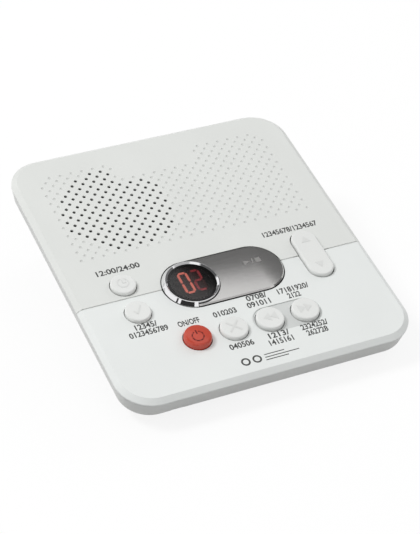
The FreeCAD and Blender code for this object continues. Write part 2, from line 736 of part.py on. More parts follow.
# ---------------------------------------------------------------- points that several pieces share
ROW_KEYS = [(f"row_x + {count} * row_pitch", "row_y") for count in range(4)]
CLOCK_KEY = ("side_key_x", "seam_y + pair_half")
SETUP_KEY = ("side_key_x", "seam_y - pair_half")
BAR_POSTS = [("bar_post_left", "seam_y"), ("bar_post_right", "seam_y")]
ROCKER_NUBS = [("rocker_x", "seam_y + pair_half"), ("rocker_x", "seam_y - pair_half")]
FRONT_STANDS = [("0 - stand_side", "stand_front"), ("stand_side", "stand_front"),
                ("stand_mid_x", "stand_mid_y")]
REAR_STANDS = [("stand_rear_left", "stand_rear_y"), ("stand_rear_right", "stand_rear_y")]
CASE_SCREWS = [(side, y) for y in ("screw_front", "screw_middle", "screw_rear")
               for side in ("0 - screw_x", "screw_x")]
CLAMPS = [("speaker_x + ({0}) * cos({1})".format("speaker_radius + clamp_reach", angle),
           "speaker_y + ({0}) * sin({1})".format("speaker_radius + clamp_reach", angle))
          for angle in (90, 210, 330)]
MAIN_SCREWS = [(x, y) for x in ("main_left + main_inset_left", "main_right - main_inset_right")
               for y in ("main_front + main_inset_y", "main_rear - main_inset_y")]


# ---------------------------------------------------------------- covers
def cover(name, front):
    """One of the two top mouldings: a bevelled plate with a locating lip under its rim, cut off at the
    seam. The openings for the display, the play bar and the rocker straddle the seam."""
    body = new_body(name)
    edge = sketch(body, name + "_edge", level=f"0 - {PARTING}")
    rounded(edge, "0", "0", HALF_WIDE, HALF_DEEP, "panel_corner + bevel_out")
    pad(body, edge, "cover_edge")
    lower = sketch(body, name + "_bevel_low", level="0 - bevel_drop")
    rounded(lower, "0", "0", HALF_WIDE, HALF_DEEP, "panel_corner + bevel_out")
    upper = sketch(body, name + "_bevel_high")
    rounded(upper, "0", "0", "panel_width / 2", "panel_depth / 2", "panel_corner")
    bevel = body.newObject("PartDesign::AdditiveLoft", name + "_bevel")
    bevel.Profile = lower
    bevel.Sections = [upper]
    bevel.Ruled = True
    lip = sketch(body, name + "_lip", level=f"0 - {PARTING}")
    rounded(lip, "0", "0", f"{HALF_WIDE} - {LIP_INSET}", f"{HALF_DEEP} - {LIP_INSET}",
            f"panel_corner + bevel_out - {LIP_INSET}")
    pad(body, lip, "lip_length", down=True)
    hollow = sketch(body, name + "_hollow", level=f"0 - {PARTING} - lip_length")
    inset = f"{LIP_INSET} - lip_wall"
    rounded(hollow, "0", "0", f"{HALF_WIDE} - {inset}", f"{HALF_DEEP} - {inset}",
            f"panel_corner + bevel_out - {inset}")
    pocket(body, hollow, f"{PARTING} + lip_length - deck", up=True)

    other = sketch(body, name + "_other_half", level="1")
    if front:
        split(other, "split_y - seam_gap / 2", "panel_depth")
    else:
        split(other, "0 - panel_depth", "split_y + seam_gap / 2")
    pocket(body, other)

    stands = FRONT_STANDS if front else REAR_STANDS
    stand = sketch(body, name + "_stands", level="0 - deck")
    for x, y in stands:
        circle(stand, x, y, "stand_radius")
    pad(body, stand, f"{BOARD_TOP} - deck", down=True)
    screws = CASE_SCREWS[:4] if front else CASE_SCREWS[4:]
    bosses = sketch(body, name + "_bosses", level="0 - deck")
    for x, y in screws:
        circle(bosses, x, y, "boss_radius")
    pad(body, bosses, "boss_end - deck", down=True)
    side = "-" if front else "+"
    stakes = sketch(body, name + "_stakes", level="0 - deck")
    for x in ("stake_left", "stake_right"):
        circle(stakes, x, f"seam_y {side} stake_half", "stake_radius")
    pad(body, stakes, "frame_wall", down=True)
    heads = sketch(body, name + "_stake_heads", level=f"0 - {FRAME_UNDER}")
    for x in ("stake_left", "stake_right"):
        circle(heads, x, f"seam_y {side} stake_half", "stake_head")
    pad(body, heads, "stake_head_wall", down=True)

    display = sketch(body, name + "_display_opening", level="1")
    slot(display, "(display_x + bar_x) / 2", "seam_y", "(bar_x - display_x) / 2", "0",
         "ring_radius + bar_gap")
    pocket(body, display, "1 + deck + 1")
    rocker = sketch(body, name + "_rocker_opening", level="1")
    slot(rocker, "rocker_x", "seam_y", "0", "pair_half", "rocker_radius + rocker_gap")
    pocket(body, rocker, "1 + deck + 1")
    pilots = sketch(body, name + "_pilots", level="0 - boss_end")
    for x, y in screws:
        circle(pilots, x, y, "shank_radius + thread_gap")
    pocket(body, pilots, "shank_long - screw_seat - boss_gap + pilot_spare", up=True)
    small = sketch(body, name + "_stand_pilots", level=f"0 - {BOARD_TOP}")
    for x, y in stands:
        circle(small, x, y, "small_shank + thread_gap")
    pocket(body, small, "small_long - board_wall + pilot_spare", up=True)
    return body


def split(drawing, low, high):
    """A rectangle right across the cover, between two values of Y."""
    outline(drawing, [("0 - panel_width", low), ("panel_width", low), ("panel_width", high),
                      ("0 - panel_width", high)])


def key_holes(body, name, holes):
    """Round holes through the deck."""
    drawing = sketch(body, name, level="1")
    for x, y, radius in holes:
        circle(drawing, x, y, f"{radius} + key_gap")
    pocket(body, drawing, "1 + deck + 1")


def front_cover():
    """The front moulding: four keys in a row, the lower left key, and a rear edge that rolls down
    to the seam."""
    body = cover("front_cover_body", front=True)
    roll = sketch(body, "front_cover_roll", "YZ")
    bow = "((roll_reach * roll_reach + roll_drop * roll_drop) / (2 * roll_drop))"
    outline(roll, [("split_y", "0 - roll_drop", bow), ("split_y - roll_reach", "0"),
                   ("split_y - roll_reach", "1"), ("split_y", "1")])
    feature = body.newObject("PartDesign::Pocket", "front_cover_roll_cut")
    feature.Profile = roll
    feature.SideType = "Symmetric"
    bind(feature, "Length", "2 * panel_width")
    recess = sketch(body, "front_cover_recess")
    slot(recess, "row_x + 2.5 * row_pitch", "row_y", "row_pitch / 2", "0", "recess_half")
    pocket(body, recess, "recess_deep")
    holes = [(*spot, "power_radius" if count == 0 else "row_radius") for count, spot in enumerate(ROW_KEYS)]
    key_holes(body, "front_cover_keys", holes + [(*SETUP_KEY, "key_radius")])
    tongues = sketch(body, "front_cover_tongues", level="0 - deck - seam_gap / 4")
    outer = f"({HALF_WIDE} - {LIP_INSET} - lip_wall - lip_gap)"
    for sign in ("", "0 - "):
        limits = [f"{sign}{outer}", f"{sign}({outer} - tongue_width)"]
        left, right = limits if sign else reversed(limits)
        outline(tongues, [(left, "split_y - tongue_reach"), (right, "split_y - tongue_reach"),
                          (right, "split_y + tongue_reach"), (left, "split_y + tongue_reach")])
    pad(body, tongues, "tongue_wall", down=True)
    roots = sketch(body, "front_cover_tongue_roots", level="0 - deck")
    for sign in ("", "0 - "):
        limits = [f"{sign}{outer}", f"{sign}({outer} - tongue_width)"]
        left, right = limits if sign else reversed(limits)
        outline(roots, [(left, "split_y - tongue_reach"), (right, "split_y - tongue_reach"),
                        (right, "split_y - seam_gap"), (left, "split_y - seam_gap")])
    pad(body, roots, "seam_gap / 2", down=True)
    seat(body, "front_cover")


def grille():
    """The lattice of round holes over the speaker: rows one step apart, every other row shifted by one.
    The corner behind and to the right of the speaker has none."""
    step, reach, size = number("hole_step"), number("grille_radius"), number("hole_radius")
    drills = []
    span = int(reach / step) + 1
    for column in range(-span, span + 1):
        for line in range(-span, span + 1):
            x, y = column * step - number("hole_left"), line * step + number("hole_back")
            bare = x > number("bare_left") and y > number("bare_front")
            if (column + line) % 2 == 0 and hypot(x, y) <= reach and not bare:
                spot = Vector(x, y, -number("deck") - 1)
                drills.append(Part.makeCylinder(size, number("deck") + 2, spot))
    punch = doc.addObject("Part::Feature", "grille_punch")
    punch.Shape = Part.makeCompound(drills)
    place(punch, "speaker_x", "speaker_y", "0")
    return punch


def rear_cover():
    """The rear moulding: the speaker grille, the speaker's locating wall and clamp bosses, one key."""
    body = cover("rear_cover_body", front=False)
    wall = sketch(body, "rear_cover_speaker_wall", level="0 - deck")
    inner = "speaker_radius + speaker_wall_gap"
    circle(wall, "speaker_x", "speaker_y", inner)
    circle(wall, "speaker_x", "speaker_y", f"{inner} + speaker_wall")
    pad(body, wall, "speaker_wall_tall", down=True)
    clamps = sketch(body, "rear_cover_clamps", level="0 - deck")
    for x, y in CLAMPS:
        circle(clamps, x, y, "clamp_boss")
    pad(body, clamps, "gasket_wall + flange_thick", down=True)
    pilots = sketch(body, "rear_cover_clamp_pilots", level=f"0 - {SPEAKER_TOP} - flange_thick")
    for x, y in CLAMPS:
        circle(pilots, x, y, "small_shank + thread_gap")
    pocket(body, pilots, "clamp_long + pilot_spare / 2", up=True)
    key_holes(body, "rear_cover_keys", [(*CLOCK_KEY, "key_radius")])
    seat(cut("rear_cover_drilled", body, grille()), "rear_cover")


# ---------------------------------------------------------------- bottom case
def rim(name, inset, top, bottom, rounding):
    """The tapered tray shape of the case, whole or as its hollow."""
    body = new_body(name)
    drawing = sketch(body, name + "_top", level=f"0 - ({top})")
    rounded(drawing, "0", "0", f"{HALF_WIDE} - {inset}", f"{HALF_DEEP} - {inset}",
            f"panel_corner + bevel_out - {inset}")
    pad(body, drawing, f"({bottom}) - ({top})", down=True, taper="case_draft")
    soften(body, rounding, f"0 - ({bottom})")
    return body


def wedge(name, inset, top):
    """The upright walls of the base, before the table plane cuts them off."""
    body = new_body(name)
    drawing = sketch(body, name + "_plan", level=top)
    rounded(drawing, "0", "(base_front + base_rear) / 2", f"base_width / 2 - {inset}",
            f"(base_rear - base_front) / 2 - {inset}", f"base_corner - {inset}")
    pad(body, drawing, "base_width", down=True)
    return body


def bottom_case():
    """The lower moulding: a tray with a rounded rim, the wedge base under it, posts for the case and board
    screws, the battery bay with its rails, the microphone's cradle and the openings at the rear."""
    far = "base_width"
    outer = fuse("case_outer", [rim("case_rim", "case_step", CASE_TOP, "case_depth", "case_round"),
                                wedge("base_outer", "0", "0 - case_depth + case_floor / 2")])
    under = level_block("under_floor", ("0 - 2 * " + far, "2 * " + far), ("0 - 2 * " + far, "2 * " + far),
                        ("0 - " + far, "base_height + case_floor"))
    hollow = cut("base_hollow", wedge("base_inner", "case_wall", "0 - case_depth + 1.5 * case_floor"), under)
    inside = rim("case_inside", "(case_step + case_wall)", f"{CASE_TOP} - 0.01", "case_depth - case_floor",
                 "case_inner_round")
    shell = cut("case_shell", outer, fuse("case_hollow", [hollow, inside]))

    posts = []
    for count, (x, y) in enumerate(CASE_SCREWS):
        posts.append(rod(f"case_post_{count}", x, y, (FAR_BELOW, "0 - boss_end - boss_gap"), "post_radius"))
    for count, (x, y) in enumerate(MAIN_SCREWS):
        posts.append(rod(f"board_post_{count}", x, y, (FAR_BELOW, f"0 - {BOARD_UNDER}"), "stand_radius"))
    added = [shell, common("case_posts", fuse("long_posts", posts), outer)]
    bay_back, bay_front = "bay_y + bay_half", "bay_y - bay_half"
    added.append(level_block("bay_block", ("bay_left - bay_wall", "base_width / 2 - case_wall / 2"),
                             (f"{bay_front} - bay_wall", f"{bay_back} + bay_wall"),
                             ("base_height", f"{BAY_FLOOR} + bay_tall + bay_wall")))
    added.append(level_block("rail_block", ("bay_left - bay_wall", "base_width / 2 - case_wall / 2"),
                             (f"{bay_front} - rail_out", f"{bay_back} + rail_out"),
                             ("base_height", "base_height + rail_tall")))
    mic_axis = "(case_depth - case_floor - mic_floor_gap - mic_boot)"
    for count, sign in enumerate("-+"):
        near = f"{MIC_X} {sign} (mic_boot + mic_floor_gap)"
        away = f"{MIC_X} {sign} (mic_boot + mic_floor_gap + mic_rib)"
        limits = (away, near) if sign == "-" else (near, away)
        added.append(block(f"mic_rib_{count}", limits, (f"{MIC_FRONT} + 1", f"{MIC_FRONT} + mic_long"),
                           ("0 - case_depth + case_floor / 2", f"0 - {mic_axis}")))

    taken = [level_block("below_base", ("0 - 2 * " + far, "2 * " + far), ("0 - 2 * " + far, "2 * " + far),
                         ("0 - 2 * " + far, "base_height"))]
    for count, (x, y) in enumerate(CASE_SCREWS):
        seat_level = "0 - boss_end - boss_gap - screw_seat"
        taken.append(rod(f"case_drill_{count}", x, y, (FAR_BELOW, "0"), "shank_radius + drill_gap"))
        taken.append(rod(f"case_sink_{count}", x, y, (FAR_BELOW, seat_level), "head_radius + drill_gap"))
    for count, (x, y) in enumerate(MAIN_SCREWS):
        taken.append(rod(f"board_drill_{count}", x, y,
                         (f"0 - {BOARD_UNDER} - main_shank + board_wall - pilot_spare / 2", "0"),
                         "small_shank + thread_gap"))
    taken.append(level_block("bay_room", ("bay_left", "base_width / 2 - case_wall"), (bay_front, bay_back),
                             ("0", f"{BAY_FLOOR} + bay_tall")))
    taken.append(level_block("door_room", ("bay_left - 1", "base_width"),
                             (f"{bay_front} - door_gap", f"{bay_back} + door_gap"), ("0", BAY_FLOOR)))
    groove = "(bay_half + door_tongue_out + door_gap)"
    taken.append(level_block("door_groove", ("bay_left - 1", "base_width"), about("bay_y", f"2 * {groove}"),
                             (f"{DOOR_TOP} - door_tongue - door_gap / 2", BAY_FLOOR)))
    snap_axis = f"({BAY_FLOOR} + snap_lift + snap_tall / 2)"
    drill = doc.addObject("Part::Cylinder", "lead_drill")
    bind(drill, "Radius", "lead_hole")
    bind(drill, "Height", "3 * bay_wall")
    drill.Placement.Rotation = Rotation(Vector(0, 1, 0), 90)
    place(drill, "bay_left - 2 * bay_wall", slab_y("bay_y", snap_axis), slab_z("bay_y", snap_axis))
    taken.append(drill)
    for count, (x, y) in enumerate(feet()):
        well = rod(f"foot_well_{count}", x, slab_y(y, "base_height - 1"),
                   ("0", "1 + foot_sunk"), "foot_radius + foot_gap")
        well.Placement.Rotation = Rotation(Vector(1, 0, 0), -number("tilt"))
        bind(well, "Placement.Rotation.Angle", "0 - tilt")
        place(well, x, slab_y(y, "base_height - 1"), slab_z(y, "base_height - 1"))
        taken.append(well)
    wall = ("base_rear - 2 * case_wall", "base_rear + 1")
    for name, x in (("line", "line_x"), ("phone", "phone_x")):
        half = "(nose_width / 2 + nose_gap)"
        taken.append(block(f"{name}_opening", (f"{x} - {half}", f"{x} + {half}"), wall,
                           ("0 - nose_top - nose_tall - nose_gap", "0 - nose_top + nose_gap / 2")))
    taken.append(cross_rod("dc_opening", "dc_x", wall, "0 - dc_axis", "dc_nose + nose_gap"))
    taken.append(block("sound_notch", about(MIC_X, "notch_width"),
                       (f"0 - {HALF_DEEP} - 1", f"0 - {HALF_DEEP} + notch_deep"),
                       ("0 - case_depth - 1", "0 - notch_top")))
    solid = cut("bottom_case_solid", fuse("case_with_posts", added), fuse("case_tools", taken))
    seat(solid, "bottom_case")


def feet():
    """The four feet: X and row-frame Y."""
    spots = []
    for y in ("base_front + foot_inset", "base_rear - foot_inset"):
        for side in ("0 - (base_width / 2 - foot_side)", "base_width / 2 - foot_side"):
            spots.append((side, base_y(y)))
    return spots


def rubber_feet():
    """Four moulded rubber pads stuck in shallow wells of the base."""
    pads = []
    for count, (x, y) in enumerate(feet()):
        pads.append(rod(f"foot_{count}", x, y, ("0", "base_height + foot_sunk"), "foot_radius"))
    keep(group("rubber_feet_group", pads), "rubber_feet")


def battery_door():
    """The sliding door under the battery bay: a plate with a tongue along each side, finger grooves at
    its outer end. It is square to the table."""
    wide = ("bay_y - bay_half", "bay_y + bay_half")
    plate = block("door_plate", ("bay_left - 1 + door_gap", "base_width / 2"), wide,
                  ("base_height", DOOR_TOP))
    tongue = block("door_tongues", ("bay_left - 1 + door_gap", "base_width / 2"),
                   (f"{wide[0]} - door_tongue_out", f"{wide[1]} + door_tongue_out"),
                   (f"{DOOR_TOP} - door_tongue", DOOR_TOP))
    grips = []
    for count in range(4):
        x = f"base_width / 2 - ({count} + 1) * grip_pitch"
        grips.append(block(f"door_grip_{count}", (f"{x} - grip_pitch / 2", x), about("bay_y", "grip_wide"),
                           ("base_height - 1", "base_height + grip_deep")))
    door = cut("battery_door_solid", fuse("door_blank", [plate, tongue]), group("door_grips", grips))
    keep(door, "battery_door")


# ---------------------------------------------------------------- screws
def screw(name, head, head_tall, shank, length):
    """A pan-head screw, head down, the underside of its head at its origin."""
    body = new_body(name)
    turn(body, name + "_outline", [("0", f"0 - ({head_tall})"), (f"{head} * 0.7", f"0 - ({head_tall})"),
                                   (head, f"0 - ({head_tall}) * 0.5"), (head, "0"), (shank, "0"),
                                   (shank, f"{length} - {shank}"), (f"{shank} * 0.4", length),
                                   ("0", length)])
    for count in range(2):
        slit = sketch(body, f"{name}_slit_{count}", level=f"0 - ({head_tall})")
        long, thin = f"{head} * 0.5", f"{head} * 0.11"
        half = (long, thin) if count else (thin, long)
        outline(slit, [(f"0 - {half[0]}", f"0 - {half[1]}"), (half[0], f"0 - {half[1]}"), half,
                       (f"0 - {half[0]}", half[1])])
        pocket(body, slit, f"{head_tall} * 0.6", up=True)
    return body


def screws():
    """All the screws, in four sets."""
    case = screw("case_screw", "head_radius", "head_tall", "shank_radius", "shank_long")
    depth = "0 - boss_end - boss_gap - screw_seat"
    seat(copies("case_screw_set", case, [(x, y, depth) for x, y in CASE_SCREWS]), "case_screws")
    small = screw("board_screw", "small_head", "small_head_tall", "small_shank", "small_long")
    depth = f"0 - {BOARD_TOP} - board_wall"
    seat(copies("key_board_screw_set", small, [(x, y, depth) for x, y in FRONT_STANDS + REAR_STANDS]),
         "key_board_screws")
    clamp = screw("clamp_screw", "clamp_head", "clamp_head_tall", "small_shank", "clamp_long")
    depth = f"0 - {SPEAKER_TOP} - flange_thick"
    seat(copies("clamp_screw_set", clamp, [(x, y, depth) for x, y in CLAMPS]), "speaker_screws")
    main = screw("main_screw", "small_head", "small_head_tall", "small_shank", "main_shank")
    downward = copies("main_screw_set", main, [(x, y, "0 - main_depth") for x, y in MAIN_SCREWS])
    for item in downward.Links:
        item.Placement.Rotation = Rotation(Vector(1, 0, 0), 180)
    seat(downward, "main_board_screws")


# ---------------------------------------------------------------- keys
def round_key(label, spot, radius, domed=False):
    """A round key cap: its flange is trapped under the deck, its stem rests on a rubber dome."""
    body = new_body(label + "_body")
    under = "0 - deck - rest_gap"
    points = [("0", "0 - dome_depth"), ("stem_radius", "0 - dome_depth"),
              ("stem_radius", f"{under} - flange_wall"),
              (f"{radius} + flange_out", f"{under} - flange_wall"), (f"{radius} + flange_out", under),
              (radius, under)]
    if domed:
        rise = "(power_rise - power_edge)"
        bow = f"(({radius} * {radius} + {rise} * {rise}) / (2 * {rise}))"
        points += [(radius, "power_edge", bow), ("0", "power_rise")]
        turn(body, label + "_outline", points)
        soften(body, "power_round", "power_edge")
    else:
        points += [(radius, "key_rise"), ("0", "key_rise")]
        turn(body, label + "_outline", points)
        soften(body, "key_round", "key_rise")
    seat(body, label, *spot)


def play_key():
    """The long play bar: a bevelled metal-faced plate that fits round the ring, on two posts that snap
    through the chassis plate."""
    body = new_body("play_key_body")
    plate = sketch(body, "play_key_plate", level="0 - bar_below")
    slot(plate, "(display_x + bar_x) / 2", "0", "(bar_x - display_x) / 2", "0", "ring_radius")
    pad(body, plate, "bar_below + bar_rise")
    soften(body, "bar_edge", "bar_rise", kind="Chamfer")
    ring = sketch(body, "play_key_ring_side", level="bar_rise + 1")
    circle(ring, "display_x", "0", "ring_side + bar_ring_gap")
    pocket(body, ring)
    ends = sketch(body, "play_key_ends", level="bar_rise + 1")
    wide, tip = "display_x - 2 * ring_radius", "display_x + bar_tip"
    outline(ends, [(wide, "0 - 2 * ring_radius"), (tip, "0 - 2 * ring_radius"), (tip, "2 * ring_radius"),
                   (wide, "2 * ring_radius")])
    pocket(body, ends)
    posts = sketch(body, "play_key_posts", level="0 - bar_below")
    collars = sketch(body, "play_key_collars", level=f"0 - {FRAME_UNDER} - rest_gap")
    for x, _ in BAR_POSTS:
        circle(posts, x, "0", "bar_post_radius")
        circle(collars, x, "0", "bar_collar")
    pad(body, posts, "dome_depth - bar_below", down=True)
    pad(body, collars, "collar_wall", down=True)
    seat(body, "play_key", "0", "seam_y")


def volume_key():
    """The volume rocker: a long cap that tips on two trunnions and presses a dome at each end."""
    body = new_body("volume_key_body")
    cap = sketch(body, "volume_key_cap", level="0 - rocker_below")
    slot(cap, "0", "0", "0", "pair_half", "rocker_radius")
    pad(body, cap, "rocker_below + key_rise")
    soften(body, "key_round", "key_rise")
    hub = sketch(body, "volume_key_hub", level="0 - rocker_below")
    outline(hub, [("0 - hub_wide / 2", "0 - hub_deep / 2"), ("hub_wide / 2", "0 - hub_deep / 2"),
                  ("hub_wide / 2", "hub_deep / 2"), ("0 - hub_wide / 2", "hub_deep / 2")])
    pad(body, hub, "axle_depth + axle_radius - rocker_below", down=True)
    axle = sketch(body, "volume_key_axle", "YZ")
    circle(axle, "0", "0 - axle_depth", "axle_radius")
    feature = body.newObject("PartDesign::Pad", "volume_key_axle_pad")
    feature.Profile = axle
    feature.SideType = "Symmetric"
    bind(feature, "Length", "2 * axle_half")
    nubs = sketch(body, "volume_key_nubs", level="0 - rocker_below")
    for sign in ("", "0 - "):
        circle(nubs, "0", f"{sign}pair_half", "nub_radius")
    pad(body, nubs, "dome_depth - rocker_below", down=True)
    seat(body, "volume_key", "rocker_x", "seam_y")


def keys():
    """All the pieces that a finger presses."""
    round_key("clock_key", CLOCK_KEY, "key_radius")
    round_key("setup_key", SETUP_KEY, "key_radius")
    round_key("power_key", ROW_KEYS[0], "power_radius", domed=True)
    for label, spot in zip(("delete_key", "repeat_key", "skip_key"), ROW_KEYS[1:]):
        round_key(label, spot, "row_radius")
    play_key()
    volume_key()


# ---------------------------------------------------------------- display and chassis plate
def key_frame():
    """The chassis plate staked under both covers: it carries the ring and the window, guides the play
    bar's posts and holds the rocker's bearings."""
    body = new_body("key_frame_body")
    plan = sketch(body, "key_frame_plan", level=f"0 - {FRAME_UNDER}")
    rounded(plan, "(frame_left + frame_right) / 2", "0", "(frame_right - frame_left) / 2", "frame_half",
            "frame_corner")
    pad(body, plan, "frame_wall")
    cheeks = sketch(body, "key_frame_cheeks", level=f"0 - {FRAME_UNDER}")
    for sign in "-+":
        near, away = f"rocker_x {sign} cheek_inner", f"rocker_x {sign} (cheek_inner + cheek_wall)"
        left, right = (away, near) if sign == "-" else (near, away)
        outline(cheeks, [(left, "0 - cheek_deep / 2"), (right, "0 - cheek_deep / 2"),
                         (right, "cheek_deep / 2"), (left, "cheek_deep / 2")])
    pad(body, cheeks, f"cheek_end - {FRAME_UNDER}", down=True)
    holes = sketch(body, "key_frame_holes")
    circle(holes, "display_x", "0", "frame_window")
    for x, _ in BAR_POSTS:
        circle(holes, x, "0", "bar_post_radius + post_gap")
    for x in ("stake_left", "stake_right"):
        for sign in ("", "0 - "):
            circle(holes, x, f"{sign}stake_half", "stake_radius + stake_gap")
    slot(holes, "rocker_x", "0", "0", "pair_half", "rocker_radius + rocker_gap")
    pocket(body, holes)
    bearing = sketch(body, "key_frame_bearing", "YZ")
    circle(bearing, "0", "0 - axle_depth", "axle_radius + axle_gap")
    pocket(body, bearing, up=True)
    snap = sketch(body, "key_frame_snap", "YZ")
    outline(snap, [("0 - snap_wide / 2", "0 - cheek_end - 1"), ("snap_wide / 2", "0 - cheek_end - 1"),
                   ("snap_wide / 2", "0 - axle_depth"), ("0 - snap_wide / 2", "0 - axle_depth")])
    pocket(body, snap, up=True)
    seat(body, "key_frame", "0", "seam_y")


def display():
    """The chromed ring, the dark window in it, and the two-digit module behind."""
    ring = new_body("display_ring_body")
    inner = "window_radius + ring_gap"
    turn(ring, "display_ring_outline", [("window_radius - window_ledge", "0 - deck"),
                                        ("ring_radius", "0 - deck"),
                                        ("ring_radius", "ring_foot"),
                                        ("ring_crest + ring_top / 2", "ring_rise"),
                                        ("ring_crest - ring_top / 2", "ring_rise"), (inner, "window_top"),
                                        (inner, "window_top - window_wall"),
                                        ("window_radius - window_ledge", "window_top - window_wall")])
    soften(ring, "ring_round", "ring_rise")
    depth = ("0 - deck - 1", "ring_rise + 1")
    beside = block("ring_beside_bar", ("bar_tip - bar_ring_gap", "2 * ring_radius"),
                   about("0", "4 * ring_radius"), depth)
    room = cut("ring_bar_room", beside, rod("ring_kept", "0", "0", depth, "ring_side"))
    seat(cut("display_ring_trimmed", ring, room), "display_ring", "display_x", "seam_y")
    window = new_body("display_window_body")
    turn(window, "display_window_outline", [("0", "window_top - window_wall"),
                                            ("window_radius", "window_top - window_wall"),
                                            ("window_radius", "window_top"), ("0", "window_top")])
    seat(window, "display_window", "display_x", "seam_y")
    module = new_body("display_module_body")
    plan = sketch(module, "display_module_plan", level=f"0 - {BOARD_TOP}")
    rounded(plan, "0", "0", "module_width / 2", "module_depth / 2", "board_corner")
    pad(module, plan, f"{BOARD_TOP} - module_face")
    seat(module, "display_module", "display_x + module_right", "seam_y + module_back")
    bars = new_body("digit_segments_body")
    drawing = sketch(bars, "digit_segments_plan", level="0 - module_face")
    for side in ("0 - digit_pitch / 2", "digit_pitch / 2"):
        seven_segments(drawing, side)
    pad(bars, drawing, "bar_proud")
    seat(bars, "digit_segments", "display_x + module_right", "seam_y + module_back")


def seven_segments(drawing, x):
    """Seven pointed bars of one digit about x."""
    high = "(digit_tall / 2 - bar_wide / 2)"
    wide = "(digit_wide / 2 - bar_wide / 2)"
    half = "(bar_wide / 2)"
    for level in (high, "0", f"(0 - {high})"):
        tip = f"({wide} - bar_space)"
        waist = f"({tip} - {half})"
        outline(drawing, [(f"{x} - {tip}", level), (f"{x} - {waist}", f"{level} - {half}"),
                          (f"{x} + {waist}", f"{level} - {half}"), (f"{x} + {tip}", level),
                          (f"{x} + {waist}", f"{level} + {half}"), (f"{x} - {waist}", f"{level} + {half}")])
    for sign in "-+":
        middle = f"{x} {sign} {wide}"
        for low, top in (("bar_space", f"{high} - bar_space"), (f"bar_space - {high}", "0 - bar_space")):
            left, right = f"{middle} - {half}", f"{middle} + {half}"
            outline(drawing, [(middle, low), (right, f"{low} + {half}"), (right, f"{top} - {half}"),
                              (middle, top), (left, f"{top} - {half}"), (left, f"{low} + {half}")])


# ---------------------------------------------------------------- keypad and key board
def keypad_mat():
    """The silicone mat: a sheet on the key board with a hollow dome under every key."""
    body = new_body("keypad_mat_body")
    domes = ROW_KEYS + [CLOCK_KEY, SETUP_KEY] + BAR_POSTS + ROCKER_NUBS
    sheet = sketch(body, "keypad_mat_sheet", level=f"0 - {BOARD_TOP}")
    rounded(sheet, "0", "(mat_front + mat_rear) / 2", "mat_half", "(mat_rear - mat_front) / 2",
            "board_corner")
    pad(body, sheet, "mat_wall")
    for name, level, radius, tall in (("skirts", "0 - mat_depth", "dome_skirt", "dome_step"),
                                      ("tops", "0 - mat_depth + dome_step", "dome_radius",
                                       "mat_depth - dome_depth - dome_step")):
        drawing = sketch(body, "keypad_mat_" + name, level=level)
        for x, y in domes:
            circle(drawing, x, y, radius)
        pad(body, drawing, tall)
    hollows = sketch(body, "keypad_mat_hollows", level=f"0 - {BOARD_TOP}")
    for x, y in domes:
        circle(hollows, x, y, "dome_hollow")
    pocket(body, hollows, "dome_hollow_tall", up=True)
    holes = sketch(body, "keypad_mat_holes", level=f"0 - {BOARD_TOP}")
    rounded(holes, "display_x + module_right", "seam_y + module_back", "module_width / 2 + stand_gap",
            "module_depth / 2 + stand_gap", "board_corner")
    for x, y in FRONT_STANDS:
        circle(holes, x, y, "stand_radius + stand_gap")
    for sign in "-+":
        circle(holes, f"row_x {sign} led_side", "row_y", "led_wide / 2 + stand_gap")
    pocket(body, holes, up=True)
    seat(body, "keypad_mat")


def key_board():
    """The circuit board under the mat, screwed to both covers."""
    body = new_body("key_board_body")
    plan = sketch(body, "key_board_plan", level=f"0 - {BOARD_TOP} - board_wall")
    rounded(plan, "0", "(key_board_front + key_board_rear) / 2", "key_board_half",
            "(key_board_rear - key_board_front) / 2", "board_corner")
    pad(body, plan, "board_wall")
    holes = sketch(body, "key_board_holes")
    for x, y in FRONT_STANDS + REAR_STANDS:
        circle(holes, x, y, "small_shank + drill_gap")
    pocket(body, holes)
    seat(body, "key_board")
    lamps = []
    for sign in "-+":
        x = f"(row_x {sign} led_side)"
        lamps.append(block("lamp_" + ("left" if sign == "-" else "right"),
                           (f"{x} - led_wide / 2", f"{x} + led_wide / 2"),
                           ("row_y - led_deep / 2", "row_y + led_deep / 2"),
                           (f"0 - {BOARD_TOP}", f"0 - {BOARD_TOP} + led_tall")))
    seat(group("power_leds_group", lamps), "power_leds")


